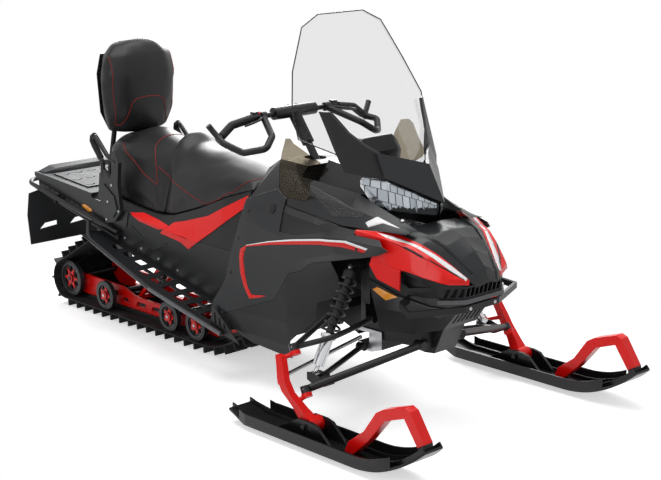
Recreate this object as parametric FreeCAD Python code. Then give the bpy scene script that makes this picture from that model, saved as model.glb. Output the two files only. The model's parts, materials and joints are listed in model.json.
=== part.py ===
import FreeCAD, Part
import math
import os

os.makedirs("parts", exist_ok=True)

V = FreeCAD.Vector

# A two-seat utility snowmobile. Millimetres, +X forward, +Y to the vehicle's left, +Z up.
# The origin lies on the snow, midway between the rear bumper and the ski tips.

# Skis and steering geometry
ski_stance = 1180.0
ski_tip_x = 1560.0
ski_tail_x = 520.0
ski_width = 170.0
ski_plate = 9.0
ski_keel_height = 22.0
ski_pivot_x = 940.0
ski_pivot_z = 84.0
ski_bolt_radius = 10.0
spindle_width = 62.0
spindle_gap = 0.4
lower_ball = V(872.0, 566.0, 196.0)
upper_ball = V(788.0, 546.0, 338.0)
lower_arm_front = V(1024.0, 108.0, 300.0)
lower_arm_rear = V(700.0, 112.0, 224.0)
upper_arm_front = V(812.0, 160.0, 374.0)
upper_arm_bends = (V(861.0, 410.0, 364.0), V(857.0, 300.0, 376.0))
upper_arm_rear = V(655.0, 165.0, 410.0)
lower_arm_radius = 15.0
upper_arm_radius = 11.0
tie_rod_radius = 8.0
shock_top = V(785.0, 232.0, 590.0)
shock_bottom = V(823.0, 475.0, 221.0)
tie_eye = V(744.0, 574.0, 198.0)
tie_inner = V(697.0, 112.0, 264.0)
tie_gap = 0.4

# Track
track_width = 406.0
track_pitch = 72.64
track_pitches = 51
belt_thickness = 6.0
lug_height = 38.0
lug_thickness = 14.0
tooth_height = 16.0
rear_idler_radius = 90.0
skid_wheel_radius = 70.0
carrier_radius = 60.0
sprocket_teeth = 8
rear_idler_x = -1337.0
carrier_x = -930.0
rail_bend_x = -240.0
rail_bend_radius = 420.0
drive_axle_z = 318.0

# Tunnel and running boards
tunnel_width = 452.0
tunnel_sheet = 4.0
tunnel_rear_x = -1480.0
tunnel_front_x = 330.0
board_slope = 0.2
board_reach = 402.0
board_front_x = 150.0
board_front_z = 226.0
board_rear_x = -960.0
rail_tube = 22.0

# Body
panel_wall = 4.0
windshield_wall = 4.0
windshield_crown_z = 1534.0

# Handlebar
bar_tube = 22.0
column_base = V(481.2, 0.0, 710.2)
column_top = V(185.0, 0.0, 1106.0)
column_radius = 16.0


def save(name, shape):
    shape.exportStep("parts/" + name + ".step")
    print(name, "solids", len(shape.Solids), "volume", round(shape.Volume), "valid", shape.isValid())


def mirrored(shape):
    """The same piece on the other side of the vehicle."""
    return shape.mirror(V(0, 0, 0), V(0, 1, 0))


def both(shape):
    """A piece and its mirror image, as two solids of one node."""
    return Part.makeCompound([shape, mirrored(shape)])


def handed(shape, hand):
    """A left-hand piece kept as it is (+1) or mirrored (-1)."""
    return shape if hand > 0 else mirrored(shape)


def block(x0, x1, y0, y1, z0, z1):
    return Part.makeBox(x1 - x0, y1 - y0, z1 - z0, V(x0, y0, z0))


def rod(a, b, radius):
    return Part.makeCylinder(radius, (b - a).Length, a, b - a)


def fused(shapes):
    return shapes[0].multiFuse(shapes[1:]).removeSplitter()


def prism(outline, y0, y1):
    """A side-view outline of (x, z) corners, carried from y0 to y1."""
    points = [V(x, y0, z) for x, z in outline]
    face = Part.Face(Part.makePolygon(points + points[:1]))
    return face.extrude(V(0, y1 - y0, 0))


def plan_prism(outline, z0, z1):
    """A top-view outline of (x, y) corners, carried from z0 to z1."""
    points = [V(x, y, z0) for x, y in outline]
    face = Part.Face(Part.makePolygon(points + points[:1]))
    return face.extrude(V(0, 0, z1 - z0))


def loft(sections, ruled=True):
    """A solid through closed sections, each a list of points."""
    wires = [Part.makePolygon(s + s[:1]) for s in sections]
    return Part.makeLoft(wires, True, ruled)


def bent_path(points, radius):
    """Straight runs joined by tangent arcs."""
    edges = []
    start = points[0]
    for i in range(1, len(points) - 1):
        before = (points[i - 1] - points[i]).normalize()
        after = (points[i + 1] - points[i]).normalize()
        half = math.acos(max(-1.0, min(1.0, before.dot(after)))) / 2
        room = 0.45 * min((points[i] - points[i - 1]).Length, (points[i + 1] - points[i]).Length)
        setback = min(room, radius / math.tan(half))
        bend = setback * math.tan(half)
        a = points[i] + before * setback
        b = points[i] + after * setback
        middle = (before + after).normalize()
        centre = points[i] + middle * (bend / math.sin(half))
        edges.append(Part.LineSegment(start, a).toShape())
        edges.append(Part.Arc(a, centre - middle * bend, b).toShape())
        start = b
    edges.append(Part.LineSegment(start, points[-1]).toShape())
    return Part.Wire(edges)


def tube(points, radius, bend=60.0):
    """A round bar along straight runs and arcs."""
    path = bent_path(points, bend)
    first = (points[1] - points[0]).normalize()
    ring = Part.Wire([Part.makeCircle(radius, points[0], first)])
    return path.makePipeShell([ring], True, False)


# Track: a closed belt around the rear idler, the rails' front bend, the drive sprocket and the carrier

def belt_circles(drive_x):
    """Centre and belt-line radius of each thing that the belt goes around, bottom first."""
    half = belt_thickness / 2
    ground = lug_height + half
    return [
        (rear_idler_x, ground + rear_idler_radius + half, rear_idler_radius + half),
        (carrier_x, carrier_z, carrier_radius + half),
        (drive_x, drive_axle_z, sprocket_teeth * track_pitch / (2 * math.pi)),
        (rail_bend_x, ground + rail_bend_radius, rail_bend_radius),
    ]


def tangent(c0, c1):
    """The outer tangent of two circles that the belt goes around clockwise, seen from the right."""
    dx = c1[0] - c0[0]
    dz = c1[1] - c0[1]
    gap = math.hypot(dx, dz)
    along = math.atan2(dz, dx)
    lean = math.asin((c0[2] - c1[2]) / gap)
    normal = along + math.pi / 2 - lean
    p0 = (c0[0] + c0[2] * math.cos(normal), c0[1] + c0[2] * math.sin(normal))
    p1 = (c1[0] + c1[2] * math.cos(normal), c1[1] + c1[2] * math.sin(normal))
    return p0, p1, normal


def belt_line(drive_x):
    """Runs of the belt line: straight ('run', p0, p1) or around a circle ('arc', circle, a0, a1)."""
    circles = belt_circles(drive_x)
    count = len(circles)
    joins = [tangent(circles[i], circles[(i + 1) % count]) for i in range(count)]
    pieces = []
    for i in range(count):
        p0, p1, normal = joins[i]
        following = joins[(i + 1) % count][2]
        turn = (normal - following) % (2 * math.pi)
        pieces.append(("run", p0, p1))
        pieces.append(("arc", circles[(i + 1) % count], normal, normal - turn))
    return pieces


def belt_length(pieces):
    total = 0.0
    for piece in pieces:
        if piece[0] == "run":
            total += math.hypot(piece[2][0] - piece[1][0], piece[2][1] - piece[1][1])
        else:
            total += piece[1][2] * (piece[2] - piece[3])
    return total


def fit_drive_axle():
    """The drive axle's place at which the loop is a whole number of pitches long."""
    low, high = 0.0, 600.0
    for _ in range(50):
        middle = (low + high) / 2
        if belt_length(belt_line(middle)) < track_pitches * track_pitch:
            low = middle
        else:
            high = middle
    return (low + high) / 2


def belt_point(pieces, distance):
    """Place and outward direction of the belt line at a distance along it."""
    for piece in pieces:
        if piece[0] == "run":
            (x0, z0), (x1, z1) = piece[1], piece[2]
            length = math.hypot(x1 - x0, z1 - z0)
            if distance <= length:
                t = distance / length
                out = (-(z1 - z0) / length, (x1 - x0) / length)
                return (x0 + t * (x1 - x0), z0 + t * (z1 - z0)), out
        else:
            (cx, cz, r), a0, a1 = piece[1], piece[2], piece[3]
            length = r * (a0 - a1)
            if distance <= length:
                a = a0 - distance / r
                return (cx + r * math.cos(a), cz + r * math.sin(a)), (math.cos(a), math.sin(a))
        distance -= length
    return belt_point(pieces, distance)


def belt_wire(pieces, offset, y):
    """The belt's outline at an offset outward from its middle line."""
    edges = []
    for piece in pieces:
        if piece[0] == "run":
            (x0, z0), (x1, z1) = piece[1], piece[2]
            length = math.hypot(x1 - x0, z1 - z0)
            ox = -(z1 - z0) / length * offset
            oz = (x1 - x0) / length * offset
            edges.append(Part.LineSegment(V(x0 + ox, y, z0 + oz), V(x1 + ox, y, z1 + oz)).toShape())
        else:
            (cx, cz, r), a0, a1 = piece[1], piece[2], piece[3]
            rr = r + offset
            ends = [V(cx + rr * math.cos(a), y, cz + rr * math.sin(a)) for a in (a0, (a0 + a1) / 2, a1)]
            edges.append(Part.Arc(ends[0], ends[1], ends[2]).toShape())
    return Part.Wire(edges)


carrier_z = 392.0
drive_axle_x = fit_drive_axle()
belt = belt_line(drive_axle_x)
print("drive axle at", round(drive_axle_x, 1), "loop", round(belt_length(belt), 1))


def cross_bar(place, out, inner, outer, thick, y0, y1):
    """A bar across the belt, from inner to outer along the belt's outward direction."""
    (x, z), (ox, oz) = place, out
    tx, tz = oz, -ox
    corners = []
    for along, away in ((-1, inner), (-0.6, outer), (0.6, outer), (1, inner)):
        h = along * thick / 2
        corners.append((x + ox * away + tx * h, z + oz * away + tz * h))
    return prism(corners, y0, y1)


def make_track():
    """One closed loop of belt with its lugs outside and its drive teeth inside."""
    half = belt_thickness / 2
    y0 = -track_width / 2
    outer = Part.Face(belt_wire(belt, half, y0))
    inner = Part.Face(belt_wire(belt, -half, y0))
    loop = outer.cut(inner).extrude(V(0, track_width, 0))
    bars = []
    for i in range(track_pitches):
        place, out = belt_point(belt, (i + 0.5) * track_pitch)
        wide = i % 2 == 0
        for centre, width in ((-130.0, 120.0), (0.0, 90.0), (130.0, 120.0)):
            if wide or centre != 0.0:
                bars.append(
                    cross_bar(place, out, half - 1, half + lug_height, lug_thickness, centre - width / 2, centre + width / 2)
                )
        for centre in (-74.0, 74.0):
            bars.append(cross_bar(place, out, -half - tooth_height, -half + 1, 26.0, centre - 11, centre + 11))
    return loop.multiFuse(bars)


# Skid: the rails, wheels, arms and shocks that the track runs on

rail_y = 112.0
rail_thickness = 14.0
axle_radius = 12.0
inside_ground = lug_height + belt_thickness
rear_axle = (rear_idler_x, inside_ground + rear_idler_radius)
skid_wheels = [(-1010.0, 178.0), (-500.0, 178.0), (-300.0, 178.0)]
front_arm_low = (-405.0, 100.0)
front_arm_high = (-60.0, 330.0)
rear_arm_low = (-900.0, 100.0)
rear_arm_high = (-600.0, 408.0)
inside_tunnel = 221.7


def make_rails():
    """Two flat rails with weight-saving cuts, and the slides that the track's clips run on."""
    low = inside_ground + 18
    outline = [
        (rear_idler_x - 34, rear_axle[1] - 22), (rear_idler_x + 30, low), (rail_bend_x + 12, low),
        (rail_bend_x + 243, low + 85.1), (rail_bend_x + 262, low + 120), (rail_bend_x + 225, low + 128),
        (rail_bend_x + 10, low + 62), (rear_idler_x + 480, low + 62), (rear_idler_x + 380, low + 92),
        (rear_idler_x + 60, rear_axle[1] + 24), (rear_idler_x - 34, rear_axle[1] + 24),
    ]
    rail = prism(outline, rail_y - rail_thickness / 2, rail_y + rail_thickness / 2)
    cuts = [
        prism([(x, low + 18), (x + 70, low + 18), (x + 84, low + 40), (x + 14, low + 40)], 0, 300)
        for x in (-1190.0, -970.0, -850.0, -730.0, -610.0, -460.0)
    ]
    for x, z in [rear_axle] + [(x, inside_ground + skid_wheel_radius) for x, y in skid_wheels] + [front_arm_low, rear_arm_low]:
        cuts.append(Part.makeCylinder(axle_radius + 0.3, 400, V(x, 0, z), V(0, 1, 0)))
    return both(rail.cut(Part.makeCompound(cuts)))


def make_slides():
    low = inside_ground + 0.5
    outline = [
        (rear_idler_x + 95, low), (rail_bend_x + 14, low), (rail_bend_x + 246, low + 84),
        (rail_bend_x + 243, low + 102), (rail_bend_x + 12, low + 17.2), (rear_idler_x + 95, low + 17.2),
    ]
    return both(prism(outline, rail_y - 16, rail_y + 16))


def spoked_wheel(x, z, y, radius, width, spokes):
    """A rimmed wheel with open spokes and a hub, its axle along Y."""
    tyre = Part.makeCylinder(radius, width, V(x, y - width / 2, z), V(0, 1, 0))
    tyre = tyre.cut(Part.makeCylinder(radius - 20, width, V(x, y - width / 2, z), V(0, 1, 0)))
    disc = Part.makeCylinder(radius - 19, 10, V(x, y - 5, z), V(0, 1, 0))
    hub = Part.makeCylinder(22, width + 6, V(x, y - width / 2 - 3, z), V(0, 1, 0))
    wheel = fused([tyre, disc, hub])
    holes = [Part.makeCylinder(axle_radius + 0.3, width + 20, V(x, y - width, z), V(0, 1, 0))]
    reach = (radius - 19 + 22) / 2
    size = min(0.32 * (radius - 41), 13.0)
    for i in range(spokes):
        a = 2 * math.pi * (i + 0.5) / spokes
        centre = V(x + reach * math.cos(a), y - width, z + reach * math.sin(a))
        holes.append(Part.makeCylinder(size, width * 2, centre, V(0, 1, 0)))
    return wheel.cut(Part.makeCompound(holes))


def make_rear_idlers():
    x, z = rear_axle
    wheels = [spoked_wheel(x, z, y, rear_idler_radius, 24, 6) for y in (-155.0, 155.0)]
    return Part.makeCompound(wheels)


def make_skid_wheels():
    wheels = []
    for x, y in skid_wheels:
        for hand in (-1, 1):
            wheels.append(spoked_wheel(x, inside_ground + skid_wheel_radius, y * hand, skid_wheel_radius, 22, 5))
    for hand in (-1, 1):
        wheels.append(spoked_wheel(carrier_x, carrier_z, 120.0 * hand, carrier_radius, 22, 5))
    return Part.makeCompound(wheels)


def axle(x, z, reach):
    return rod(V(x, -reach, z), V(x, reach, z), axle_radius)


def make_skid_axles():
    bars = [axle(rear_axle[0], rear_axle[1], 175.0)]
    for x, y in skid_wheels:
        bars.append(axle(x, inside_ground + skid_wheel_radius, y + 14))
    bars.append(axle(carrier_x, carrier_z, inside_tunnel))
    return Part.makeCompound(bars)


def make_skid_arms():
    """The two swing arms between tunnel and rails, each two tubes between cross tubes."""
    arms = []
    for low, high, y in ((front_arm_low, front_arm_high, 84.0), (rear_arm_low, rear_arm_high, 60.0)):
        a = V(low[0], 0, low[1])
        b = V(high[0], 0, high[1])
        pieces = [axle(a.x, a.z, 120.0), axle(b.x, b.z, inside_tunnel)]
        for h in (-1, 1):
            pieces.append(rod(a + V(0, y * h, 0), b + V(0, y * h, 0), 11))
        arms.append(fused(pieces))
    return Part.makeCompound(arms)


def make_skid_shocks():
    """The front and rear dampers of the skid, each resting between the two arms' cross tubes."""
    shocks = []
    for low, high, y in ((front_arm_low, front_arm_high, 0.0), (rear_arm_low, rear_arm_high, 0.0)):
        a = V(low[0], y, low[1])
        b = V(high[0], y, high[1])
        along = (b - a).normalize()
        start = a + along * (axle_radius + 0.4)
        end = b - along * (axle_radius + 0.4)
        middle = start + (end - start) * 0.45
        shocks.append(fused([rod(start, end, 12), rod(start + along * 14, middle, 24), rod(middle, end - along * 14, 30)]))
    return Part.makeCompound(shocks)


def make_drive_axle():
    """The driven shaft with its two toothed sprockets."""
    radius = sprocket_teeth * track_pitch / (2 * math.pi) - belt_thickness / 2 - 0.5
    pieces = [rod(V(drive_axle_x, -inside_tunnel, drive_axle_z), V(drive_axle_x, inside_tunnel, drive_axle_z), 16)]
    for y in (-105.0, 105.0):
        pieces.append(Part.makeCylinder(radius, 26, V(drive_axle_x, y - 13, drive_axle_z), V(0, 1, 0)))
    return fused(pieces)


# Tunnel: a folded sheet over the track, its top line and lower line both rising to the rear

def board_z(x):
    """Height of the running board's surface."""
    return board_front_z + (board_front_x - x) * board_slope


tunnel_side = tunnel_width / 2
tunnel_top = [(tunnel_rear_x, 640.0), (-1150.0, 612.0), (-300.0, 520.0), (tunnel_front_x, 520.0)]


def tunnel_outline(lift):
    """Side view of the tunnel down to the boards, with its edges moved inward by lift."""
    top = [(x, z - lift) for x, z in tunnel_top]
    low = [(tunnel_front_x, board_z(tunnel_front_x) + 4), (board_rear_x, board_z(board_rear_x) + 4)]
    return top + low + [(tunnel_rear_x, 560.0)]


def make_tunnel():
    outer = prism(tunnel_outline(0.0), -tunnel_side, tunnel_side)
    top = [(x, z - tunnel_sheet) for x, z in tunnel_top]
    top[0] = (top[0][0] - 10, top[0][1])
    top[-1] = (top[-1][0] + 10, top[-1][1])
    inner = prism(top + [(tunnel_front_x + 10, 0.0), (tunnel_rear_x - 10, 0.0)], tunnel_sheet - tunnel_side, tunnel_side - tunnel_sheet)
    hanger = [(carrier_x - 60, 460.0), (carrier_x + 70, 440.0), (carrier_x + 22, carrier_z - 22), (carrier_x - 22, carrier_z - 22)]
    plate = prism(hanger, tunnel_side - tunnel_sheet, tunnel_side)
    vee = [(-702.0, 516.0), (-541.0, 432.0), (-437.0, 478.0), (-437.0, 468.0), (-541.0, 421.0), (-702.0, 505.0)]
    ridge = prism(vee, tunnel_side - 1, tunnel_side + 3)
    wall = block(tunnel_front_x - tunnel_sheet, tunnel_front_x, -tunnel_side, tunnel_side, board_z(tunnel_front_x) + 4, 520.0)
    return fused([outer.cut(inner), wall, plate, mirrored(plate), ridge, mirrored(ridge)])


def make_board(hand):
    """A running board: a sheet with grip openings, a toe rise in front and a tube rail outside."""
    inner = tunnel_side + 0.3
    outline = [
        (board_front_x, board_z(board_front_x)), (board_rear_x, board_z(board_rear_x)),
        (board_rear_x, board_z(board_rear_x) - 5), (board_front_x, board_z(board_front_x) - 5),
    ]
    plate = prism(outline, inner, board_reach)
    rear_cut = plan_prism([(board_rear_x - 10, 330.0), (-330.0, board_reach), (-330.0, 600.0), (board_rear_x - 10, 600.0)], 0, 900)
    plate = plate.cut(rear_cut)
    slots = []
    for i in range(9):
        x = -800.0 + i * 96.0
        reach = 300.0 + 8.0 * i
        slots.append(block(x, x + 58, inner + 24, inner + 62, 100, 700))
        end = min(reach + 10, board_reach - 40)
        if end - inner > 100:
            slots.append(block(x, x + 58, inner + 82, end, 100, 700))
    plate = plate.cut(Part.makeCompound(slots))
    drop = 6
    points = [
        V(board_front_x + 6, board_reach - 6, board_z(board_front_x) - drop),
        V(-330.0, board_reach - 6, board_z(-330.0) - drop),
        V(board_rear_x + 40, 320.0, board_z(board_rear_x + 40) - drop),
        V(board_rear_x - 40, 262.0, board_z(board_rear_x) + 40),
    ]
    rail = tube(points, rail_tube / 2, 220.0)
    return handed(fused([plate, rail]), hand)


def make_toe_guard():
    """The slotted triangle that closes the front of the board against the snow."""
    z0 = board_z(board_front_x)
    outline = [
        (board_front_x - 80, z0 + 16.4), (board_front_x + 0.3, z0 + 0.4), (board_front_x + 0.3, z0 - 12), (board_front_x + 110, z0 - 34),
        (board_front_x - 66, z0 + 104),
    ]
    plate = prism(outline, board_reach - 23.4, board_reach - 17.4)
    slots = []
    for i, height in enumerate((62.0, 44.0, 26.0)):
        x = board_front_x - 52 + i * 30
        slots.append(prism([(x, z0 + 18), (x + 14, z0 + 15), (x + 10, z0 + 8 + height), (x - 2, z0 + 12 + height)], 0, 500))
    return both(plate.cut(Part.makeCompound(slots)))


def make_flap():
    """The snow flap: a sheet with folded edges and two slanted slots."""
    outline = [
        (-300.0, 452.0), (-285.0, 560.0), (-218.0, 572.0), (-218.0, 640.0), (218.0, 640.0), (218.0, 572.0), (285.0, 560.0), (300.0, 452.0),
        (290.0, 302.0), (-290.0, 302.0),
    ]
    points = [V(tunnel_rear_x - 0.3, y, z) for y, z in outline]
    sheet = Part.Face(Part.makePolygon(points + points[:1])).extrude(V(-6, 0, 0))
    slots = []
    for y0, slant in ((-235.0, 30.0), (-60.0, 30.0)):
        x = tunnel_rear_x + 80
        corners = [V(x, y0, 372.0), V(x, y0 + 100, 380.0), V(x, y0 + 100, 402.0), V(x, y0 + slant, 398.0)]
        slots.append(Part.Face(Part.makePolygon(corners + corners[:1])).extrude(V(-200, 0, 0)))
    return sheet.cut(Part.makeCompound(slots))


def make_rear_bumper():
    """The tube around the tail, with a second tube below it on each side."""
    corner = tunnel_rear_x - 69
    points = [
        V(-790.0, tunnel_side + 16, 468.0), V(-1420.0, tunnel_side + 34, 590.0), V(corner, tunnel_side + 24, 612.0),
        V(corner, -tunnel_side - 24, 612.0), V(-1420.0, -tunnel_side - 34, 590.0), V(-790.0, -tunnel_side - 16, 468.0),
    ]
    upper = tube(points, 11, 70.0)
    lower = [
        rod(V(-795.0, (tunnel_side + 12) * h, 438.0), V(-1300.0, (tunnel_side + 12) * h, 545.0), 8)
        for h in (-1, 1)
    ]
    brackets = []
    for h in (-1, 1):
        for x, z0, z1, reach in ((-1300.0, 536.0, 572.0, 28.0), (-796.0, 432.0, 474.0, 18.0)):
            y0, y1 = sorted(((tunnel_side + 0.3) * h, (tunnel_side + reach) * h))
            brackets.append(block(x - 10, x + 10, y0, y1, z0, z1))
    return fused([upper] + lower + brackets)


def make_cargo_deck():
    """The flat deck with its raised rear block, its load plate with chevron grooves, and the side skirts."""
    rear = tunnel_rear_x
    outline = [
        (rear - 28, 658.0), (rear + 80, 652.0), (-1014.6, 621.4), (-1014.6, 597.8), (-1150.0, 612.4), (rear + 1, 640.4), (rear - 28, 640.4),
    ]
    deck = prism(outline, -tunnel_side - 4, tunnel_side + 4)
    lift = prism([(rear - 24, 654.0), (rear + 60, 650.0), (rear + 50, 676.0), (rear - 16, 682.0)], -150, 150)
    end = loft([
        [V(rear - 24, 150, 654.0), V(rear + 60, 150, 650.0), V(rear + 50, 150, 676.0), V(rear - 16, 150, 682.0)],
        [V(rear - 20, 214, 654.0), V(rear + 40, 214, 652.0), V(rear + 38, 214, 658.0), V(rear - 18, 214, 660.0)],
    ])
    skirt = prism([(rear - 30, 644.0), (-720.0, 574.0), (-740.0, 500.0), (-900.0, 512.0), (rear - 10, 622.0)], tunnel_side + 0.3, tunnel_side + 4)
    fall = (652.0 - 621.4) / (-1014.6 - (rear + 80))

    def deck_z(x):
        return 652.0 + (rear + 80 - x) * fall

    plate = prism([(rear + 85, deck_z(rear + 85) + 6), (-1100.0, deck_z(-1100.0) + 6), (-1100.0, deck_z(-1100.0) - 4), (rear + 85, deck_z(rear + 85) - 4)], -190, 190)
    grooves = []
    for i in range(3):
        for j in range(-2, 3):
            x = rear + 120 + i * 110.0
            y = j * 76.0
            arrow = [(x, y - 26), (x + 18, y), (x, y + 26), (x + 7, y + 26), (x + 25, y), (x + 7, y - 26)]
            grooves.append(plan_prism(arrow, deck_z(x) + 2, deck_z(x) + 20))
    return fused([deck, lift, end, mirrored(end), skirt, mirrored(skirt), plate.cut(Part.makeCompound(grooves))])


# Seats, backrest and grab handles

def seat_section(x, half, top, side_z, low_half, low):
    """A closed section across the seat: flat below, sloped sides, crowned top."""
    crown = top - (top - side_z) * 0.28
    right = [(-low_half, low), (-half, side_z), (-0.62 * half, crown), (-0.3 * half, top - 4)]
    left = [(-y, z) for y, z in reversed(right)]
    return [V(x, y, z) for y, z in right + [(0.0, top)] + left]


def make_driver_seat():
    sections = [
        seat_section(-520.0, 120.0, 915.0, 830.0, 178.0, 584.0),
        seat_section(-505.0, 130.0, 938.0, 842.0, 178.0, 587.0),
        seat_section(-485.0, 138.0, 946.0, 850.0, 180.0, 590.2),
        seat_section(-425.0, 150.0, 893.0, 812.0, 182.0, 600.0),
        seat_section(-250.0, 160.0, 884.0, 800.0, 186.0, 655.0),
        seat_section(-60.0, 150.0, 850.0, 800.0, 186.0, 730.0),
        seat_section(90.0, 120.0, 818.0, 792.0, 160.0, 780.0),
    ]
    return loft(sections)


def make_passenger_seat():
    sections = [
        seat_section(-985.0, 124.0, 868.0, 828.0, 157.0, 632.8),
        seat_section(-940.0, 150.0, 900.0, 844.0, 170.0, 622.0),
        seat_section(-888.0, 156.0, 904.5, 846.0, 174.0, 616.5),
        seat_section(-790.0, 158.0, 934.0, 838.0, 182.0, 606.0),
        seat_section(-640.0, 140.0, 905.0, 826.0, 184.0, 590.0),
        seat_section(-520.4, 118.0, 880.0, 800.0, 178.0, 584.2),
    ]
    return loft(sections)


def plinth(grow):
    """The moulded base under both seats, spreading down to the tunnel, with its flanks moved out by grow."""
    rows = [
        (-1014.0, 150.0, 639.0, 597.7), (-940.0, 170.0, 621.5, 589.7), (-790.0, 182.0, 605.5, 573.4), (-640.0, 184.0, 589.5, 557.2),
        (-520.0, 178.0, 583.5, 544.2), (-425.0, 182.0, 599.5, 533.9), (-250.0, 186.0, 654.5, 520.4), (-60.0, 186.0, 729.5, 520.4),
        (90.0, 160.0, 779.5, 520.4),
    ]
    low_half = tunnel_side - 0.5 + grow
    return loft([
        [V(x, -low_half, low), V(x, low_half, low), V(x, half + grow, top), V(x, -half - grow, top)]
        for x, half, top, low in rows
    ])


def make_seat_base():
    return plinth(0.0)


def trim_shape(outline):
    """A strip that lies on the plinth's flank and on the tunnel's side below it."""
    bands = []
    for grow in (3.3, 0.3):
        side = prism([(-1014.0, 600.0), (-300.0, 521.0), (90.0, 521.0), (90.0, 400.0), (-1014.0, 400.0)], tunnel_side + grow - 30, tunnel_side + grow)
        bands.append(plinth(grow).fuse(side))
    return bands[0].cut(bands[1]).common(prism(outline, 150, 300))


def make_side_trim():
    """The coloured strips between the seat and the footwell."""
    rear = trim_shape([(-716.0, 572.0), (-640.0, 580.0), (-440.0, 556.0), (-430.0, 540.0), (-500.0, 530.0), (-640.0, 546.0)])
    front = trim_shape([
        (-480.0, 516.0), (-402.0, 574.0), (-330.0, 590.0), (-160.0, 640.0), (80.0, 760.0), (84.0, 716.0), (-100.0, 590.0), (-272.0, 477.0), (-330.0, 500.0),
    ])
    return Part.makeCompound([rear, front, mirrored(rear), mirrored(front)])


def pad_section(z, front, rear, half):
    return [V(rear, -0.86 * half, z), V(rear, 0.86 * half, z), V(front - 46, half, z), V(front, 0.6 * half, z),
            V(front + 10, 0.0, z), V(front, -0.6 * half, z), V(front - 46, -half, z)]


def make_backrest_pad():
    """The cushion of the backrest, rounded over its top."""
    sections = [
        pad_section(909.0, -890.0, -985.0, 165.0), pad_section(1000.0, -862.0, -990.0, 192.0),
        pad_section(1180.0, -846.0, -990.0, 200.0), pad_section(1270.0, -856.0, -985.0, 180.0),
        pad_section(1318.0, -880.0, -975.0, 132.0), pad_section(1336.0, -905.0, -962.0, 80.0),
    ]
    return loft(sections)


def make_backrest_frame():
    """The shell behind the cushion and the two arms that carry it."""
    shell = [
        [V(-1012.0, -0.9 * h, z), V(-1012.0, 0.9 * h, z), V(-990.6, h, z), V(-990.6, -h, z)]
        for z, h in ((915.0, 130.0), (1000.0, 172.0), (1180.0, 182.0), (1270.0, 158.0))
    ]
    arms = [tube([V(-1003.0, 90.0 * h, 1120.0), V(-1003.0, 90.0 * h, 900.0), V(-1045.0, 110.0 * h, 632.0)], 12) for h in (-1, 1)]
    foot = [(-1080.0, 626.9), (-1016.0, 621.8), (-1016.0, 630.0), (-1080.0, 636.0)]
    feet = [prism(foot, 110.0 * h - 22, 110.0 * h + 22) for h in (-1, 1)]
    cross = rod(V(-1003.0, -90.0, 930.0), V(-1003.0, 90.0, 930.0), 12)
    return fused([loft(shell), cross] + arms + feet)


def make_grab_handle():
    """A faceted side bracket that rises to a hooked plate, with a slanted loop bar on it."""
    y0 = tunnel_side + 4.3
    outline = [
        (-923.0, 635.0), (-870.0, 504.0), (-800.0, 520.0), (-751.0, 570.0), (-764.0, 700.0), (-750.0, 800.0), (-775.0, 856.0),
        (-806.0, 846.0), (-796.0, 790.0), (-822.0, 716.0), (-880.0, 756.0), (-908.0, 730.0),
    ]
    plate = prism(outline, y0, y0 + 20)
    rib = prism([(-912.0, 640.0), (-868.0, 530.0), (-806.0, 540.0), (-770.0, 580.0), (-790.0, 640.0), (-870.0, 690.0)], y0 + 19, y0 + 26)
    loop = tube([
        V(-884.0, y0 + 12, 720.0), V(-888.0, y0 + 12, 790.0), V(-966.0, y0 + 12, 880.0), V(-940.0, y0 + 12, 908.0), V(-846.0, y0 + 12, 822.0),
        V(-776.0, y0 + 12, 800.0),
    ], 11, 24.0)
    return both(fused([plate, rib, loop]))


# Skis, spindles and front suspension

def ski_profile(offset):
    """Side view of the ski's sole, raised by an offset, from tail to tip."""
    radius = 489.0
    turn = math.acos(1 - (150.0 - ski_keel_height) / radius)
    start_x = ski_tip_x - radius * math.sin(turn)
    centre = V(start_x, 0, ski_keel_height + radius)
    r = radius - offset
    tail = V(ski_tail_x, 0, ski_keel_height + 26 + offset)
    knee = V(ski_tail_x + 110, 0, ski_keel_height + offset)
    flat = V(start_x, 0, ski_keel_height + offset)
    middle = centre + V(r * math.sin(turn / 2), 0, -r * math.cos(turn / 2))
    tip = centre + V(r * math.sin(turn), 0, -r * math.cos(turn))
    return tail, knee, flat, middle, tip


def ski_band(low, high, y0, y1):
    """The stretch of ski between two offsets above its sole, across y0 to y1."""
    a = ski_profile(low)
    b = ski_profile(high)
    edges = [
        Part.LineSegment(a[0], a[1]).toShape(), Part.LineSegment(a[1], a[2]).toShape(), Part.Arc(a[2], a[3], a[4]).toShape(),
        Part.LineSegment(a[4], b[4]).toShape(), Part.Arc(b[4], b[3], b[2]).toShape(), Part.LineSegment(b[2], b[1]).toShape(),
        Part.LineSegment(b[1], b[0]).toShape(), Part.LineSegment(b[0], a[0]).toShape(),
    ]
    face = Part.Face(Part.Wire(edges))
    face.translate(V(0, y0, 0))
    return face.extrude(V(0, y1 - y0, 0))


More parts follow.
